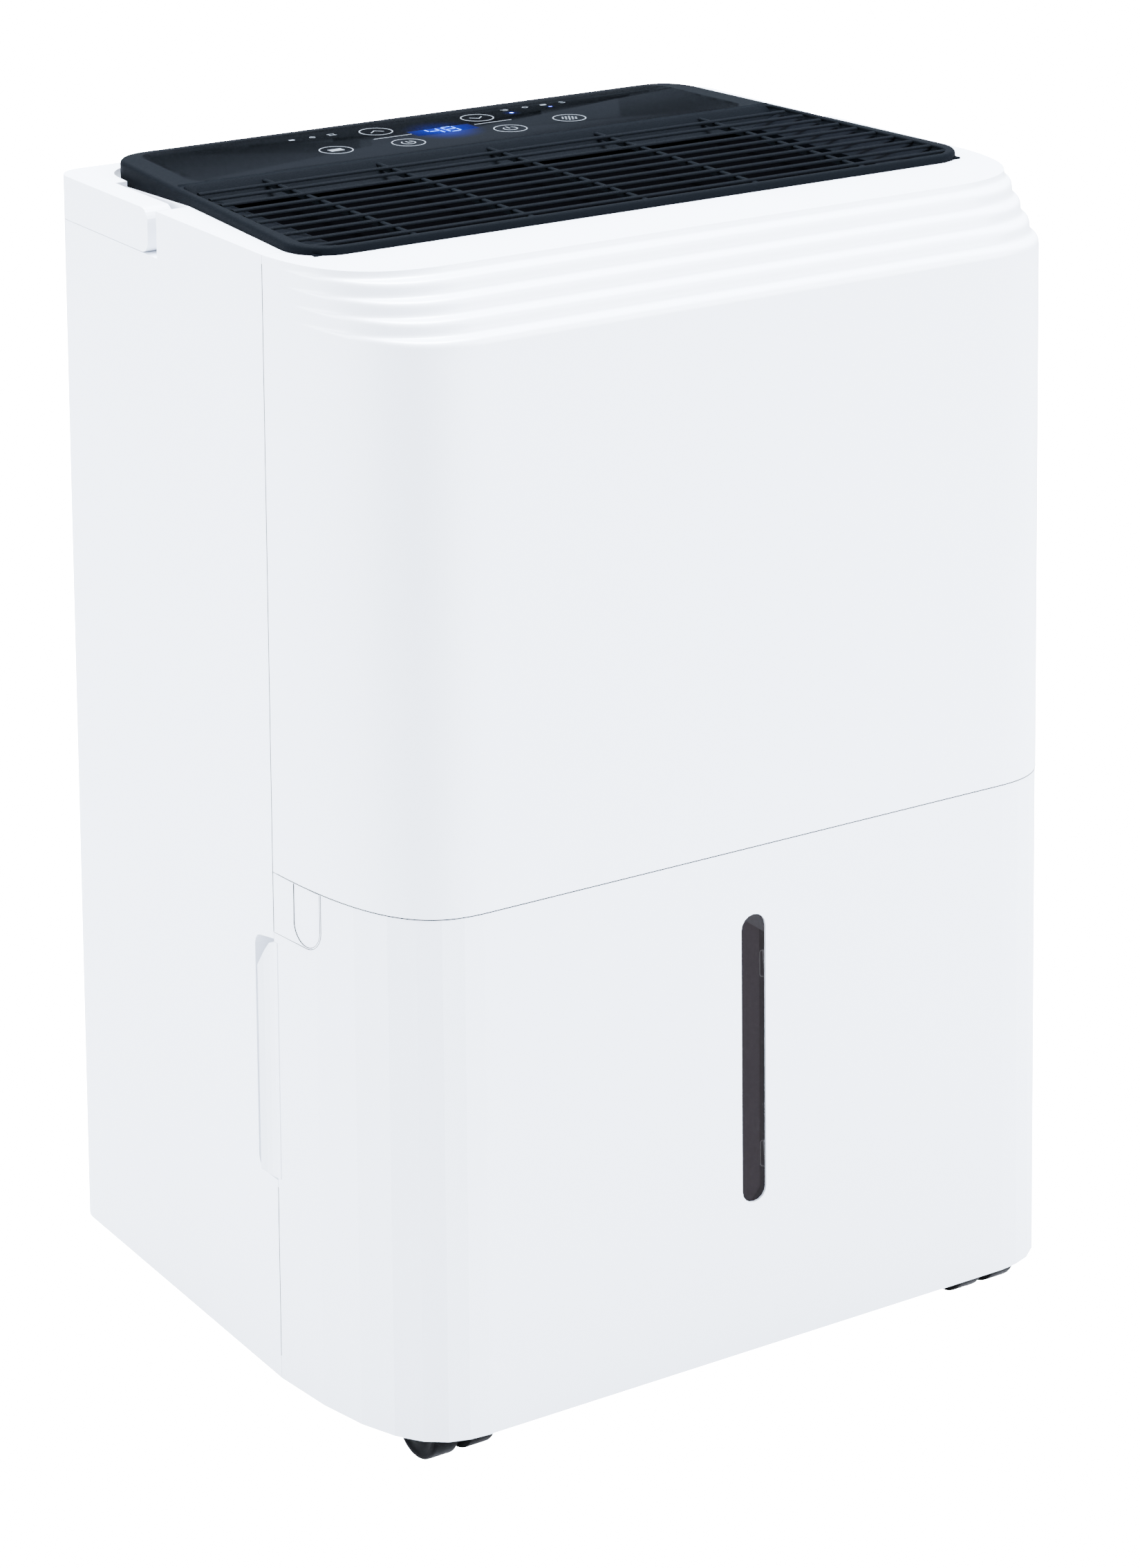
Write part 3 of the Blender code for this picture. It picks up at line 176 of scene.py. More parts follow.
rubber = material("rubber", (0.018, 0.018, 0.018), 0.8, bump=0.5, bump_scale=1200)
copper = material("copper", (0.72, 0.34, 0.20), 0.28, metallic=1.0, bump=0.1, bump_scale=400, mottling=0.1)
fin_metal = material("fin_metal", (0.68, 0.70, 0.73), 0.34, metallic=1.0, bump=0.2, bump_scale=700)
board_green = material("board_green", (0.02, 0.16, 0.06), 0.45, bump=0.2, bump_scale=300, mottling=0.2)
filter_mesh = material("filter_mesh", (0.05, 0.055, 0.06), 0.85, bump=0.8, bump_scale=900, mottling=0.2)
smoke = material("smoked_window", (0.0062, 0.0048, 0.0053), 0.2, bump=0.02, mottling=0.06, specular=0.02)
print_ink = material("print_ink", (0.085, 0.095, 0.105), 0.5, bump=0.05, specular=0.1)
print_soft = material("print_soft", (0.075, 0.085, 0.095), 0.5, bump=0.05, specular=0.1)
display_black = material("display_black", (0.0003, 0.0006, 0.006), 0.55, bump=0.02, specular=0.004)
digits_lit = glowing("digits_lit", (0.0, 0.17, 1.0), 1.5)
led_lit = glowing("led_lit", (0.02, 0.08, 1.0), 3.0)
led_core = glowing("led_core", (0.6, 0.75, 1.0), 8.0)
led_dim = glowing("led_dim", (0.01, 0.04, 1.0), 0.5)
smoke_dark = material("smoke_dark", (0.0036, 0.0027, 0.0029), 0.2, bump=0.02, mottling=0.06, specular=0.02)
smoke_light = material("smoke_light", (0.0098, 0.0088, 0.0093), 0.2, bump=0.02, mottling=0.06, specular=0.02)
joint_shade = material("joint_shade", (0.02, 0.02, 0.022), 0.9, bump=0.1, mottling=0.1, specular=0.1)
clip_line = material("clip_line", (0.018, 0.0165, 0.0165), 0.2, bump=0.02, specular=0.02)

BLUE = (0.0, 0.035, 1.0)
add_glow(film, [(DISPLAY[0], DISPLAY[1], 0.0225, 0.024, 1.0), (0.0499, 0.1191, 0.0060, 0.0060, 0.5),
                (0.0743, 0.1212, 0.0045, 0.0045, 0.15)], BLUE)
add_glow(display_black, [(DISPLAY[0], DISPLAY[1], 0.027, 0.034, 1.3)], BLUE)

by_node = {
    "rear_shell": white, "carry_handle": white, "bucket": white_bucket, "drain_port_panel": white_bucket,
    "drain_port_cover": white_bucket, "rear_grille": white, "control_membrane": film, "front_shell": white,
    "display_window": display_black, "display_module": inner_black_and_shade, "control_board": board_green,
    "handle_pivot_left": steel, "handle_pivot_right": steel, "level_window": smoke, "float_pivot": steel,
    "base_pan": base_black, "compressor": painted, "compressor_plate": painted, "evaporator": fin_metal,
    "condenser": fin_metal, "suction_pipe": copper, "discharge_pipe": copper, "fan_scroll": inner_black_and_shade,
    "blower_wheel": inner_black_and_shade, "fan_motor": painted, "motor_bracket": inner_black_and_shade, "power_box": inner_black_and_shade,
    "run_capacitor": painted, "bucket_switch": inner_black_and_shade, "air_filter": filter_mesh, "cord_inlet": rubber,
    "bay_partition": inner_black_and_shade, "top_panel": charcoal,
}
for name, node in nodes.items():
    finish = by_node.get(name, white)
    if name.startswith("caster"):
        finish = gloss_black
    elif name.startswith("compressor_foot"):
        finish = rubber
    elif name.startswith("screw"):
        finish = steel
    for slot in node.material_slots:
        slot.material = finish


# ---- mesh helpers ---------------------------------------------------------------------
def soften(piece, width, segments=2, angle=35):
    """Rounded edges with clean shading."""
    edge = piece.modifiers.new("edges", "BEVEL")
    edge.width = width
    edge.segments = segments
    edge.limit_method = "ANGLE"
    edge.angle_limit = math.radians(angle)
    edge.harden_normals = True
    edge.use_clamp_overlap = True
    return piece


def add_piece(name, build, finish, body="casing", smooth=True):
    """New mesh piece from a bmesh builder, riding on a body."""
    work = bmesh.new()
    build(work)
    bmesh.ops.recalc_face_normals(work, faces=work.faces)
    mesh = bpy.data.meshes.new(name)
    work.to_mesh(mesh)
    work.free()
    mesh.materials.append(finish)
    if smooth:
        mesh.shade_smooth()
        mesh.set_sharp_from_angle(angle=math.radians(35))
    piece = bpy.data.objects.new(name, mesh)
    scene.collection.objects.link(piece)
    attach(piece, body)
    return piece


def strip(work, rings, closed=True, caps=True):
    """Join rings of equal point counts."""
    rows = [[work.verts.new(point) for point in ring] for ring in rings]
    for low, high in zip(rows, rows[1:]):
        for i in range(len(low) - (0 if closed else 1)):
            j = (i + 1) % len(low)
            work.faces.new((low[i], low[j], high[j], high[i]))
    if caps and closed:
        work.faces.new(rows[0][::-1])
        work.faces.new(rows[-1])
    return rows


def cut_with(piece, name, build):
    """Cut a piece with a closed mesh that isn't kept."""
    work = bmesh.new()
    build(work)
    bmesh.ops.recalc_face_normals(work, faces=work.faces)
    mesh = bpy.data.meshes.new(name)
    work.to_mesh(mesh)
    work.free()
    cutter = bpy.data.objects.new(name, mesh)
    scene.collection.objects.link(cutter)
    step = piece.modifiers.new(name, "BOOLEAN")
    step.operation = "DIFFERENCE"
    step.solver = "EXACT"
    step.object = cutter
    return cutter


def settle(piece, *cutters):
    """Apply the modifiers and remove the cutters."""
    bpy.context.view_layer.update()
    graph = bpy.context.evaluated_depsgraph_get()
    mesh = bpy.data.meshes.new_from_object(piece.evaluated_get(graph), depsgraph=graph)
    piece.modifiers.clear()
    piece.data = mesh
    for cutter in cutters:
        bpy.data.objects.remove(cutter, do_unlink=True)
    mesh.shade_smooth()
    mesh.set_sharp_from_angle(angle=math.radians(35))


def bezier(p0, p1, p2, p3, steps):
    points = []
    for i in range(steps + 1):
        t = i / steps
        s = 1 - t
        points.append(tuple(p0 * s ** 3 + p1 * 3 * s * s * t + p2 * 3 * s * t * t + p3 * t ** 3))
    return points


def rounded(points, radii, steps=10):
    """Round the corners of a closed outline; radii is one number or one for each corner."""
    if not hasattr(radii, "__len__"):
        radii = [radii] * len(points)
    outline = []
    befores, afters = points[-1:] + points[:-1], points[1:] + points[:1]
    for before, corner, after, radius in zip(befores, points, afters, radii):
        corner = Vector(corner)
        a = (Vector(before) - corner).normalized()
        b = (Vector(after) - corner).normalized()
        half = a.angle(b) / 2
        centre = corner + (a + b).normalized() * radius / math.sin(half)
        start = corner + a * radius / math.tan(half) - centre
        sweep = (corner + b * radius / math.tan(half) - centre).angle_signed(start)
        for i in range(steps + 1):
            outline.append(tuple(centre + Matrix.Rotation(sweep * i / steps, 2) @ start))
    return outline


def inset(points, distance):
    moved = []
    count = len(points)
    for i in range(count):
        here = Vector(points[i])
        a = (here - Vector(points[i - 1])).normalized()
        b = (Vector(points[(i + 1) % count]) - here).normalized()
        normal = Vector((-a.y - b.y, a.x + b.x)).normalized()
        moved.append(tuple(here + normal * distance / max(normal.dot(Vector((-a.y, a.x))), 0.4)))
    return moved


# ---- shared shapes --------------------------------------------------------------------
def spread(height):
    return DRAFT * (1 - height / CASE_HEIGHT)


def front_outline(height, setback=0.0, corner=CORNER_WIDTH, steps=24, flat=8):
    """Left seam, round the front, to the right seam."""
    half = HALF_WIDTH + spread(height)
    face = -(HALF_DEPTH + spread(height)) + setback
    start = Vector((-half, SEAM_Y - GAP))
    end = Vector((-half + corner, face))
    side = start + Vector((math.sin(CORNER_LEAN), -math.cos(CORNER_LEAN))) * 1.04 * (SEAM_Y - face)
    left = bezier(start, side, end - Vector((0.40 * corner, 0)), end, steps)
    middle = [(end.x + (-2 * end.x) * i / flat, face) for i in range(1, flat)]
    return left + middle + [(-x, y) for x, y in reversed(left)]


def panel_outline(grow=0.0):
    square = [(-PANEL_FRONT_HALF, PANEL_FRONT), (PANEL_FRONT_HALF, PANEL_FRONT),
              (PANEL_REAR_HALF, PANEL_REAR), (-PANEL_REAR_HALF, PANEL_REAR)]
    return inset(rounded(square, PANEL_CORNER), -grow)


def panel_top(y):
    slope = (PANEL_RISE_REAR - PANEL_RISE_FRONT) / (PANEL_REAR - PANEL_FRONT)
    return TOP + PANEL_RISE_FRONT + slope * (y - PANEL_FRONT)


def panel_foot(y):
    return TOP - PANEL_SKIRT - PANEL_FOOT_DROP * (y - PANEL_FRONT) / (PANEL_REAR - PANEL_FRONT)


def panel_half(y):
    slope = (PANEL_REAR_HALF - PANEL_FRONT_HALF) / (PANEL_REAR - PANEL_FRONT)
    return PANEL_FRONT_HALF + slope * (y - PANEL_FRONT)


# ---- upper front shell with its soft ripples ------------------------------------------
def ripple_level(t):
    """Back and rise shares along the rippled shoulder: the slope swings between steep and flat."""
    wave = RIPPLE_DEPTH * math.sin(2 * math.pi * RIPPLES * t) / (2 * math.pi * RIPPLES)
    return t - wave, t + wave


def build_front_shell(work):
    bottom = MID_SEAM + 0.0002
    rows = []
    for i in range(13):
        height = bottom + (RIPPLE_BOTTOM - 0.004 - bottom) * i / 12
        rows.append([(x, y, GROUND + height) for x, y in front_outline(height)])
    lower = front_outline(RIPPLE_BOTTOM)
    upper = front_outline(CASE_HEIGHT, RIPPLE_SETBACK, TOP_CORNER_WIDTH)
    steps = RIPPLES * 12
    for i in range(steps + 1):
        back, rise = ripple_level(i / steps)
        height = RIPPLE_BOTTOM + rise * (CASE_HEIGHT - RIPPLE_BOTTOM)
        rows.append([(a[0] + (b[0] - a[0]) * back, a[1] + (b[1] - a[1]) * back, GROUND + height)
                     for a, b in zip(lower, upper)])
    grid = strip(work, rows, closed=False)
    work.faces.new(grid[-1])


front_shell = add_piece("front_shell_fine", build_front_shell, white)
wall = front_shell.modifiers.new("wall", "SOLIDIFY")
wall.thickness = WALL
wall.offset = -1
seat = cut_with(front_shell, "panel_seat", lambda work: strip(
    work, [[(x, y, z) for x, y in panel_outline(0.0004)] for z in (TOP - 0.02, TOP + 0.02)]))
settle(front_shell, seat)
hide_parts("front_shell")
soften(front_shell, 0.0005, angle=50)

for name in ("rear_shell", "bucket", "carry_handle"):
    soften(nodes[name], 0.0006)
for name in ("drain_port_panel", "drain_port_cover", "level_window", "rear_grille"):
    soften(nodes[name], 0.0003)
for name in ("control_membrane", "display_window"):
    soften(nodes[name], 0.00015)
for name in ("drain_cap", "drain_spigot", "cord_inlet"):
    soften(nodes[name], 0.0004)
for name in nodes:
    if name.startswith("caster_wheels"):
        soften(nodes[name], 0.0004, angle=60)


# ---- outlet panel: frame, scoop, blades, ribs and side ledges -------------------------
def window_outline(grow=0.0):
    front = panel_half(WINDOW_FRONT) - 0.0075
    rear = panel_half(WINDOW_REAR) - 0.0035
    square = [(-front, WINDOW_FRONT), (front, WINDOW_FRONT), (rear, WINDOW_REAR), (-rear, WINDOW_REAR)]
    return inset(rounded(square, [0.014, 0.014, 0.008, 0.008]), -grow)


def build_panel_frame(work):
    rings = [[(x, y, panel_foot(y)) for x, y in panel_outline()]]
    for shrink, drop in ((0.0, 0.0020), (0.0003, 0.0009), (0.0010, 0.0002), (0.0020, 0.0)):
        rings.append([(x, y, panel_top(y) - drop) for x, y in panel_outline(-shrink)])
    strip(work, rings)


panel = add_piece("outlet_panel", build_panel_frame, charcoal)
hole = cut_with(panel, "outlet_hole", lambda work: strip(work, [
    [(x, y, TOP - 0.02) for x, y in window_outline()], [(x, y, TOP + 0.02) for x, y in window_outline()]]))
settle(panel, hole)
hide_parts("top_panel")
soften(panel, 0.0008, 3, angle=50)


def build_liner(work):
    """Inner wall of the window, from its rounded lip down, leaning in a little."""
    rings = []
    for grow, drop in ((0.0004, 0.0008), (0.0, 0.0016), (-0.0008, 0.0035), (-0.0016, 0.0055)):
        rings.append([(x, y, panel_top(y) - drop) for x, y in window_outline(grow)])
    strip(work, rings, caps=False)


add_piece("window_liner", build_liner, charcoal)


def build_scoop(work):
    """Concave bay between the key film and the first blade."""
    rows = []
    for i in range(9):
        t = i / 8
        y = WINDOW_REAR + 0.0006 - 0.0135 * t
        drop = 0.0004 + 0.0088 * math.sin(t * math.pi / 2) ** 1.4
        half = panel_half(y) - 0.0030
        rows.append([(-half + 2 * half * j / 40, y, panel_top(y) - drop) for j in range(41)])
    strip(work, rows, closed=False)


scoop = add_piece("scoop", build_scoop, charcoal)
wall = scoop.modifiers.new("wall", "SOLIDIFY")
wall.thickness = 0.0012
wall.offset = 1


def blade_y(index):
    return BLADE_FIRST + (BLADE_LAST - BLADE_FIRST) * index / (BLADES - 1)


BLADE_SECTION = [(0.0011, -0.0014), (0.0013, -0.0008), (0.0008, -0.0003), (-0.0007, -0.0003),
                 (-0.0013, -0.0007), (-0.0015, -0.0013), (-0.0006, -0.0017)]


def build_blades(work):
    """Louvre blades: shallow bars with rounded edges, a little deeper toward the front."""
    for index in range(BLADES):
        y = blade_y(index)
        half = panel_half(y) - 0.0062
        rings = []
        for j in range(25):
            x = -half + 2 * half * j / 24
            rings.append([(x, y + dy, panel_top(y) + dz) for dy, dz in BLADE_SECTION])
        strip(work, rings)


add_piece("louvre_blades", build_blades, charcoal)


def build_ribs(work):
    """Cross ribs a little below the blade tops, following the slope of the panel."""
    for x in RIBS:
        front, back = WINDOW_FRONT - 0.001, WINDOW_REAR - 0.0035
        side = []
        for i in range(13):
            y = front + (back - front) * i / 12
            side.append((y, panel_top(y) - 0.0012))
        floor = [(y, z - 0.0022) for y, z in reversed(side)]
        profile = side + floor
        rings = [[(x + dx, y, z - drop) for y, z in profile] for dx, drop in
                 ((-0.0013, 0.0004), (-0.0008, 0.0), (0.0008, 0.0), (0.0013, 0.0004))]
        strip(work, rings)


add_piece("cross_ribs", build_ribs, charcoal)


def build_duct_shade(work):
    """Painted shade: black floor under the whole window, standing in for the dark depth of the outlet duct.
    """
    rings = []
    for drop in (0.0125, 0.0112):
        rings.append([(x, y, panel_top(y) - drop) for x, y in window_outline(-0.0022)])
    strip(work, rings)


# black sheet of painted shade deep in the outlet, under the louvres
add_piece("outlet_shade_floor", build_duct_shade, inner_black_and_shade)


def build_ledges(work):
    """Sloped floor between the blades outside the open middle."""
    for side in (-1, 1):
        rings = []
        for y in (WINDOW_FRONT - 0.0008, WINDOW_REAR - 0.012):
            outer = panel_half(y) - 0.0070
            top = panel_top(y)
            rings.append([(side * LEDGE, y, top - 0.0078), (side * outer, y, top - 0.0028),
                          (side * outer, y, top - 0.0050), (side * LEDGE, y, top - 0.0100)])
        strip(work, rings)


add_piece("side_ledges", build_ledges, ledge_grey)


# ---- shaded joints between the shells -------------------------------------------------
def build_side_joints(work):
    """Thin dark strips laid along the upright seams, just proud of the shells."""
    section = ((-0.00004, 0.00044), (-0.00004, -0.00014), (-0.00001, -0.00014), (-0.00001, 0.00044))
    for side in (-1, 1):
        for ends in ((0.012, GRIP_FOOT), (GRIP_HEAD, CASE_HEIGHT - 0.004)):
            rings = []
            for height in ends:
                face = side * (HALF_WIDTH + spread(height))
                rings.append([(face - side * deep, SEAM_Y - y, GROUND + height) for deep, y in section])
            strip(work, rings)


def build_mid_joint(work):
    """The same along the seam over the bucket, on the front shell's lower edge."""
    outline = front_outline(MID_SEAM)
    rings = []
    for depth, height in ((-0.00004, MID_SEAM - 0.00014), (-0.00004, MID_SEAM + 0.00036),
                          (-0.00001, MID_SEAM + 0.00036), (-0.00001, MID_SEAM - 0.00014)):
        path = inset(outline, depth)
        for end in (0, -1):
            x, y = outline[end]
            path[end] = (x - math.copysign(depth, x), y)
        rings.append([(x, y, GROUND + height) for x, y in path])
    rows = [[work.verts.new(point) for point in ring] for ring in rings]
    for low, high in zip(rows, rows[1:] + rows[:1]):
        for i in range(len(low) - 1):
            work.faces.new((low[i], low[i + 1], high[i + 1], high[i]))


def left_skin(y, height):
    """How far out the left front corner is at a place on its outline."""
    outline = front_outline(height)[:25]
    for a, b in zip(outline, outline[1:]):
        if b[1] <= y <= a[1]:
            return a[0] + (b[0] - a[0]) * (y - a[1]) / (b[1] - a[1])
    return outline[0][0]


def joint_ribbon(path, width=0.00022):
    """Thin ribbon set in a joint of the left front corner, along points in YZ."""
    def build(work):
        rings = []
        for i, point in enumerate(path):
            here = Vector(point)
            a = Vector(path[max(0, i - 1)])
            b = Vector(path[min(len(path) - 1, i + 1)])
            across = Vector((-(b - a).y, (b - a).x)).normalized() * width / 2
            ring = []
            for sign, depth in ((1, 0.00005), (-1, 0.00005), (-1, 0.0008), (1, 0.0008)):
                y, height = here + across * sign
                ring.append((left_skin(y, height) + depth, y, GROUND + height))
            rings.append(ring)
        strip(work, rings)
    return build


def round_foot(radius, low, first, last):
    """Points round the foot of the port, between two angles."""
    angles = [math.radians(first + (last - first) * i / 24) for i in range(25)]
    return [(PORT_CENTRE + radius * math.cos(a), low + radius + radius * math.sin(a)) for a in angles]


gap = GAP / 2
port_path = [(SEAM_Y - 0.0006, PORT_BOTTOM - gap)]
port_path += round_foot(PORT_HALF + gap, PORT_BOTTOM - gap, 270, 180)
port_path += [(PORT_CENTRE - PORT_HALF - gap, MID_SEAM - 0.0006)]
cover_radius = PORT_HALF - 0.0008 + gap
cover_path = [(PORT_CENTRE + cover_radius, MID_SEAM - 0.0006)]
cover_path += round_foot(cover_radius, PORT_BOTTOM + 0.0008 - gap, 0, -180)
cover_path += [(PORT_CENTRE - cover_radius, MID_SEAM - 0.0006)]
add_piece("joint_sides", build_side_joints, joint_shade, smooth=False)
add_piece("joint_middle", build_mid_joint, joint_shade, smooth=False)
add_piece("joint_port", joint_ribbon(port_path), joint_shade, body="bucket_unit", smooth=False)
add_piece("joint_cover", joint_ribbon(cover_path), joint_shade, body="bucket_unit", smooth=False)

# ---- printed keys and the display -----------------------------------------------------
class Print:
    """Flat printed marks lying on the key film."""

    def __init__(self, lift=0.00005):
        self.shapes = []
        self.lift = lift

    def polygon(self, points):
        self.shapes.append((points, None))

    def ring(self, x, y, radius, width, start=0.0, sweep=360.0, steps=40):
        outer, inner = [], []
        count = max(4, int(steps * abs(sweep) / 360))
        for i in range(count + 1):
            angle = math.radians(start + sweep * i / count)
            outer.append((x + radius * math.cos(angle), y + radius * math.sin(angle)))
            inner.append((x + (radius - width) * math.cos(angle), y + (radius - width) * math.sin(angle)))
        self.shapes.append((outer, inner))

    def line(self, points, width):
        """Stroke of one width through the points."""
        left, right = [], []
        for i, point in enumerate(points):
            here = Vector(point)
            a = (here - Vector(points[i - 1])).normalized() if i else None
            b = (Vector(points[i + 1]) - here).normalized() if i < len(points) - 1 else None
            direction = ((a or b) + (b or a)).normalized()
            normal = Vector((-direction.y, direction.x))
            reach = width / 2 / max(0.4, normal.dot(Vector((-(a or b).y, (a or b).x))))
            left.append(tuple(here + normal * reach))
            right.append(tuple(here - normal * reach))
        self.shapes.append((left, right))

    def disc(self, x, y, radius, steps=20):
        angles = [2 * math.pi * i / steps for i in range(steps)]
        self.polygon([(x + radius * math.cos(a), y + radius * math.sin(a)) for a in angles])

    def build(self, work):
        for first, second in self.shapes:
            if second is None:
                strip(work, [[(x, y, panel_top(y) + z) for x, y in first] for z in (-0.0002, self.lift)])
                continue
            for i in range(len(first) - 1):
                quad = [first[i], first[i + 1], second[i + 1], second[i]]
                strip(work, [[(x, y, panel_top(y) + z) for x, y in quad] for z in (-0.0002, self.lift)])


KEY = 0.0084
LINE = 0.00055
keys = Print()
UP, DOWN = (-0.0292, 0.1185), (0.0292, 0.1185)
CLOCK, POWER = (-0.0292, 0.0879), (0.0292, 0.0879)
FILTER, AIR = (-0.0669, 0.0927), (0.0669, 0.0927)
for x, y in (UP, DOWN, CLOCK, POWER, FILTER, AIR):
    keys.ring(x, y, KEY, LINE, steps=56)
for (x, y), turn in ((UP, 1), (DOWN, -1)):
    foot = y - 0.0016 * turn
    keys.line([(x - 0.0036, foot), (x, y + 0.0018 * turn), (x + 0.0036, foot)], LINE)
for x, y in (CLOCK, POWER):
    keys.ring(x, y, 0.0037, LINE, start=125, sweep=290, steps=36)
keys.line([(POWER[0], POWER[1] + 0.0004), (POWER[0], POWER[1] + 0.0044)], LINE)
keys.line([(CLOCK[0], CLOCK[1] + 0.0030), (CLOCK[0], CLOCK[1]), (CLOCK[0] + 0.0022, CLOCK[1])], LINE)
for row, count in ((-2, 3), (-1, 4), (0, 5), (1, 4), (2, 3)):
    for i in range(count):
        keys.disc(AIR[0] + (i - (count - 1) / 2) * 0.0019, AIR[1] + row * 0.0017, 0.00052, 10)
keys.line([(-0.0395, 0.1035), (-0.0180, 0.1035)], LINE)
keys.line([(0.0195, 0.1055), (0.0410, 0.1055)], LINE)
add_piece("key_prints", keys.build, print_ink)

marks = Print()
fx, fy = FILTER
marks.polygon([(fx - 0.0036, fy - 0.0023), (fx + 0.0036, fy - 0.0023), (fx + 0.0036, fy + 0.0023),
               (fx - 0.0036, fy + 0.0023)])
marks.polygon([(-0.0747, 0.1231), (-0.0719, 0.1231), (-0.0719, 0.1251), (-0.0747, 0.1251)])
marks.ring(-0.0617, 0.1243, 0.0015, 0.0004, steps=20)
marks.line([(-0.0617, 0.1252), (-0.0617, 0.1243), (-0.0608, 0.1243)], 0.00035)
marks.line([(-0.0529, 0.1257), (-0.0488, 0.1257)], 0.0004)
marks.line([(-0.0522, 0.1228), (-0.0522, 0.1256)], 0.0004)
marks.line([(-0.0495, 0.1228), (-0.0495, 0.1256)], 0.0004)
marks.line([(-0.0529, 0.1229), (-0.0488, 0.1229)], 0.0004)
marks.ring(0.0505, 0.1267, 0.0016, 0.0004, start=200, sweep=240, steps=20)
marks.line([(0.0487, 0.1277), (0.0523, 0.1259)], 0.0004)
marks.ring(0.0627, 0.1267, 0.0014, 0.0004, steps=20)
marks.line([(0.0607, 0.1267), (0.0612, 0.1267)], 0.0004)
marks.line([(0.0642, 0.1267), (0.0647, 0.1267)], 0.0004)
marks.polygon([(0.0719, 0.1257), (0.0751, 0.1257), (0.0751, 0.1277), (0.0719, 0.1277)])
marks.ring(0.0848, 0.1267, 0.0017, 0.0004, start=30, sweep=120, steps=20)
marks.ring(0.0848, 0.1267, 0.0017, 0.0004, start=210, sweep=120, steps=20)
add_piece("status_prints", marks.build, print_soft)

# the open 4 and the 8 of a seven-segment display
SEGMENTS = {"4": "fgbc", "8": "abcdefg"}
CELLS = {"a": (0, 1, 1, 1), "b": (1, 1, 1, 0), "c": (1, 0, 1, -1), "d": (0, -1, 1, -1), "e": (0, 0, 0, -1),
         "f": (0, 1, 0, 0), "g": (0, 0, 1, 0)}
digits = Print(0.00008)
for digit, left in (("4", -0.0080), ("8", 0.0014)):
    for segment in SEGMENTS[digit]:
        x0, y0, x1, y1 = CELLS[segment]
        width, rise, trim = 0.0060, 0.0052, 0.0006
        a = Vector((left + x0 * width, DISPLAY[1] + y0 * rise))
        b = Vector((left + x1 * width, DISPLAY[1] + y1 * rise))
        along = (b - a).normalized() * trim
        digits.line([tuple(a + along), tuple(b - along)], 0.0008)
add_piece("display_digits", digits.build, digits_lit)

for name, spot, radius, finish in (("led_glow", (0.0499, 0.1191), 0.0011, led_lit),
                                   ("led_second", (0.0743, 0.1212), 0.0009, led_dim)):
    lamp = Print(0.00006)
    lamp.disc(*spot, radius)
    add_piece(name, lamp.build, finish)
core = Print(0.00009)
core.disc(0.0499, 0.1191, 0.0006)
add_piece("led_core", core.build, led_core)


# ---- caster wheels with rounded treads and raised hubs --------------------------------
WHEEL_RADIUS, WHEEL_OUT, WHEEL_IN, TRAIL = 0.018, 0.0175, 0.0038, 0.008
CASTER_X, CASTER_FRONT, CASTER_REAR = 0.156, -0.123, 0.106
TREAD = [(WHEEL_OUT, 0.0), (WHEEL_OUT, 0.0098), (0.0172, 0.0106), (0.0171, 0.0138), (0.0174, 0.0148),
         (0.0174, 0.0164), (0.0171, 0.0174), (0.0164, 0.0179), (0.0152, WHEEL_RADIUS), (0.0044, WHEEL_RADIUS),
         (0.0040, 0.0179), (WHEEL_IN, 0.0175), (WHEEL_IN, 0.0021)]
for corner, x, y in (("front_left", -CASTER_X, CASTER_FRONT), ("front_right", CASTER_X, CASTER_FRONT),
                     ("rear_left", -CASTER_X, CASTER_REAR), ("rear_right", CASTER_X, CASTER_REAR)):
    def build_wheels(work, x=x, y=y - TRAIL):
        profile = TREAD + [(-across, radius) for across, radius in reversed(TREAD)]
        rings = []
        for across, radius in profile:
            radius = max(radius, 0.00001)
            rings.append([(x + across, y + radius * math.cos(math.pi * i / 24),
                           WHEEL_RADIUS + radius * math.sin(math.pi * i / 24)) for i in range(48)])
        strip(work, rings)
    wheels = add_piece("wheel_pair_" + corner, build_wheels, gloss_black, body="wheels_" + corner)
    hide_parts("caster_wheels_" + corner)


# ---- inside of the level window -------------------------------------------------------
PANE_LOW, PANE_HIGH, PANE_HALF = 0.0783, 0.2248, 0.0067


def on_pane(x, height, lift):
    return x, -(HALF_DEPTH + spread(height)) + 0.0009 - lift, GROUND + height


def pane_half(height):
    """Half width of the pane at a level, inside its round ends."""
    over = max(0.0, PANE_LOW + PANE_HALF - height, height - PANE_HIGH + PANE_HALF)
    return math.sqrt(max(0.0, PANE_HALF ** 2 - over ** 2))


def pane_shape(name, outline, finish, lift=0.00006):
    def build(work):
        strip(work, [[on_pane(x, height, depth) for x, height in outline] for depth in (-0.0001, lift)])
    return add_piece(name, build, finish, body="bucket_unit")


def build_return(work):
    """Shaded return of the pane's right edge, following the round foot."""
    outer, inner = [], []
    for i in range(49):
        height = PANE_LOW + 0.0006 + (PANE_HIGH - 0.0006 - PANE_LOW - 0.0006) * i / 48
        edge = pane_half(height)
        outer.append((edge - 0.00015, height))
        lean = 0.0040 - max(0.0, PANE_LOW + 0.0065 - height) * 0.9
        inner.append((max(-0.002, min(edge - 0.00025, lean)), height))
    strip(work, [[on_pane(x, h, 0.00005) for x, h in line] for line in (inner, outer)], closed=False)


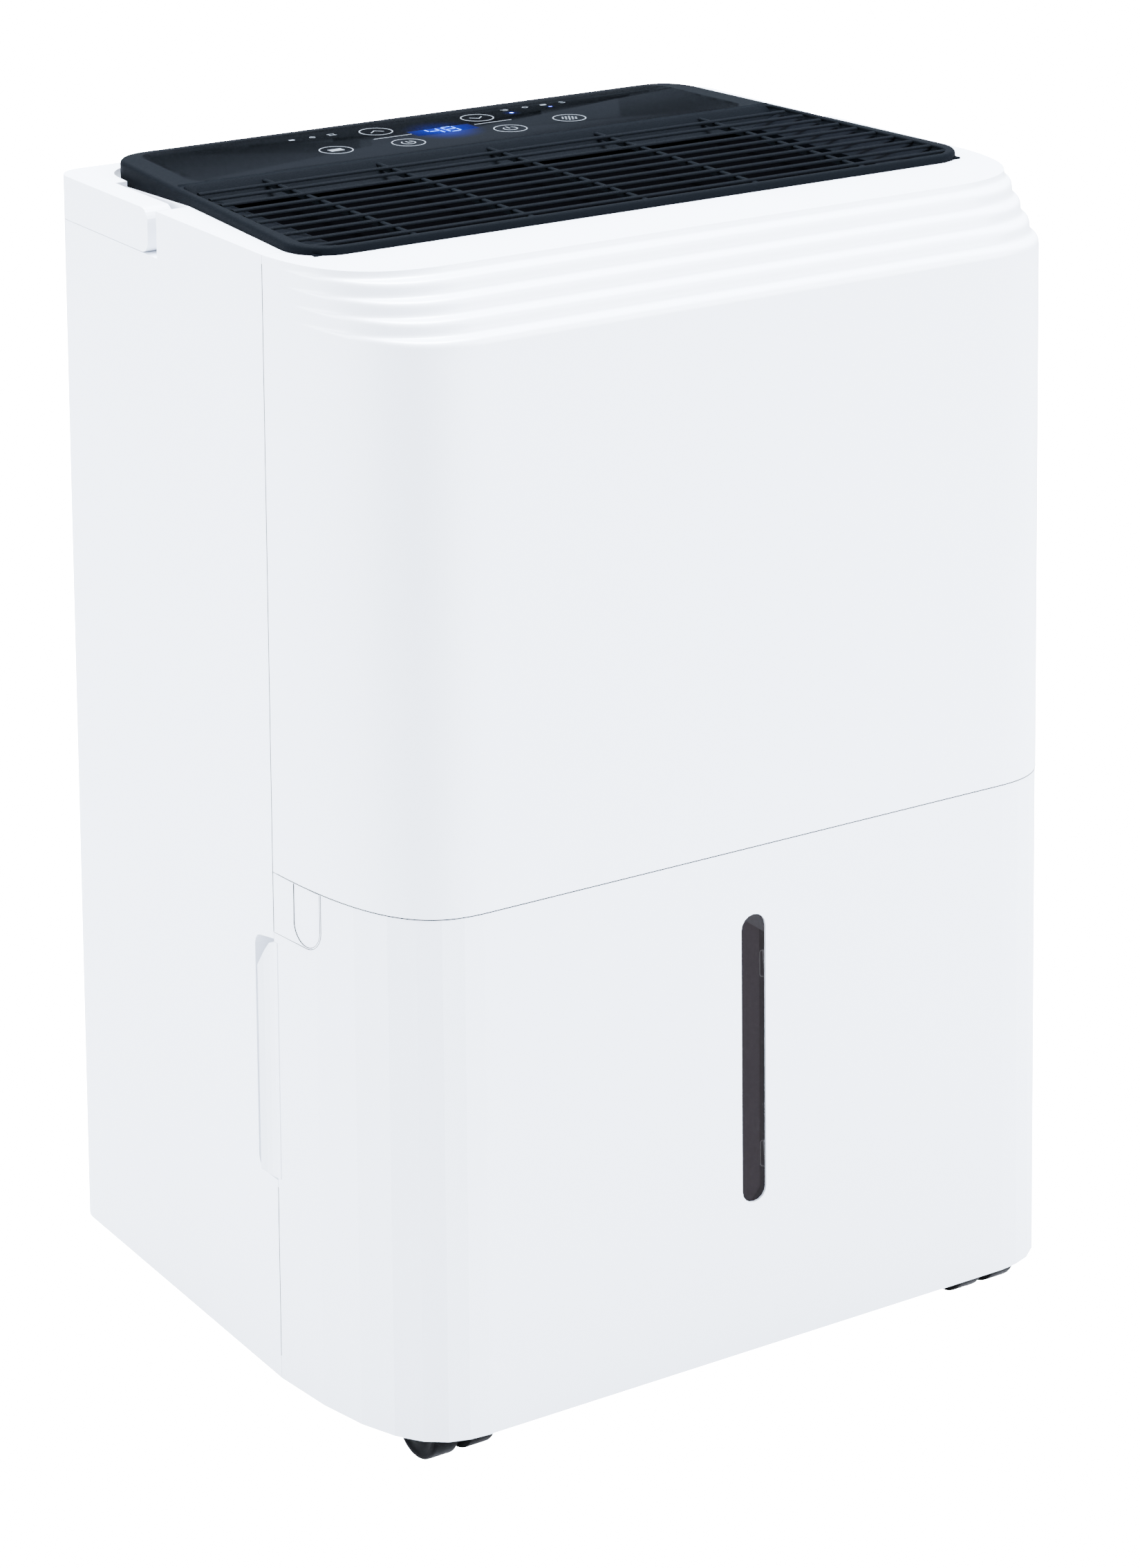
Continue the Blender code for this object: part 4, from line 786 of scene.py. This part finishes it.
add_piece("window_return", build_return, smoke_dark, body="bucket_unit")
reach = PANE_HALF * 0.975
arc = [(reach * math.cos(math.radians(a)), PANE_HIGH - PANE_HALF + reach * math.sin(math.radians(a)))
       for a in range(0, 136, 9)]
pane_shape("window_patch", [(0.0065, 0.2146)] + arc, smoke_light, 0.00009)
for name, low, high in (("window_clip_upper", 0.1923, 0.2057), ("window_clip_lower", 0.0951, 0.1085)):
    left, edge = 0.0039, 0.0065
    clip = [(edge, low - 0.0006), (left + 0.0008, low), (left, low + 0.0010), (left, high - 0.0008),
            (left + 0.0006, high), (edge, high)]
    clip_face = [(edge, low - 0.0001), (left + 0.0010, low + 0.0004), (left + 0.0004, low + 0.0012),
                 (left + 0.0004, high - 0.0010), (left + 0.0008, high - 0.0004),
                 (edge - 0.0009, high - 0.0004)]
    pane_shape(name, clip, clip_line, 0.00012)
    pane_shape(name + "_face", clip_face, smoke_dark, 0.00016)


# ---- stage, light and camera ----------------------------------------------------------
floor_material = material("stage_white", (0.90, 0.90, 0.90), 0.9, mottling=0.0, specular=0.0)
tree = floor_material.node_tree
glare = tree.nodes.new("ShaderNodeEmission")
glare.inputs["Strength"].default_value = 40.0
path = tree.nodes.new("ShaderNodeLightPath")
choice = tree.nodes.new("ShaderNodeMixShader")
tree.links.new(path.outputs["Is Camera Ray"], choice.inputs[0])
tree.links.new(tree.nodes["Principled BSDF"].outputs[0], choice.inputs[1])
tree.links.new(glare.outputs[0], choice.inputs[2])
tree.links.new(choice.outputs[0], tree.nodes["Material Output"].inputs["Surface"])


def build_floor(work):
    bmesh.ops.create_grid(work, x_segments=1, y_segments=1, size=6.0)


floor = add_piece("floor", build_floor, floor_material)
floor.parent = None
floor.matrix_world = Matrix.Identity(4)

world = bpy.data.worlds.new("studio")
scene.world = world
world.use_nodes = True
world.node_tree.nodes["Background"].inputs["Color"].default_value = (1, 1, 1, 1)
tree = world.node_tree
backdrop = tree.nodes["Background"]
backdrop.inputs["Strength"].default_value = 2.4
backdrop.inputs["Color"].default_value = (0.84, 0.90, 1.0, 1)
seen = tree.nodes.new("ShaderNodeBackground")
seen.inputs["Color"].default_value = (1, 1, 1, 1)
seen.inputs["Strength"].default_value = 40.0
path = tree.nodes.new("ShaderNodeLightPath")
choice = tree.nodes.new("ShaderNodeMixShader")
tree.links.new(path.outputs["Is Camera Ray"], choice.inputs[0])
tree.links.new(backdrop.outputs[0], choice.inputs[1])
tree.links.new(seen.outputs[0], choice.inputs[2])
tree.links.new(choice.outputs[0], tree.nodes["World Output"].inputs["Surface"])


def area_light(name, location, target, size, power, colour=(1, 1, 1)):
    lamp = bpy.data.lights.new(name, "AREA")
    lamp.shape = "RECTANGLE"
    lamp.size, lamp.size_y = size
    lamp.energy = power
    lamp.color = colour
    holder = bpy.data.objects.new(name, lamp)
    scene.collection.objects.link(holder)
    holder.location = location
    holder.rotation_euler = (Vector(target) - Vector(location)).to_track_quat("-Z", "Y").to_euler()


area_light("left", (-2.9, 1.4, 1.5), (0, 0, 0.35), (1.4, 2.0), 400, (0.84, 0.90, 1.0))
area_light("front", (1.9, -2.6, 1.6), (0, 0, 0.35), (1.4, 2.0), 480, (0.84, 0.90, 1.0))
area_light("top", (0.2, 0.4, 2.7), (0, 0, 0.5), (1.2, 1.2), 640, (0.84, 0.90, 1.0))

YAW, PITCH, ROLL = math.radians(33.286), math.radians(19.92), math.radians(-0.5)
forward = Vector((math.sin(YAW) * math.cos(PITCH), math.cos(YAW) * math.cos(PITCH), -math.sin(PITCH)))
level_right = forward.cross(Vector((0, 0, 1))).normalized()
level_up = level_right.cross(forward)
right = level_right * math.cos(ROLL) + level_up * math.sin(ROLL)
upward = level_up * math.cos(ROLL) - level_right * math.sin(ROLL)
lens = bpy.data.cameras.new("camera")
lens.lens = 99.775
lens.sensor_width = 36.0
lens.clip_end = 50
camera = bpy.data.objects.new("camera", lens)
scene.collection.objects.link(camera)
placed = Matrix((right, upward, -forward)).transposed().to_4x4()
placed.translation = Vector((-1.1062, -1.6895, 0.9739 + GROUND))
camera.matrix_world = placed
scene.camera = camera
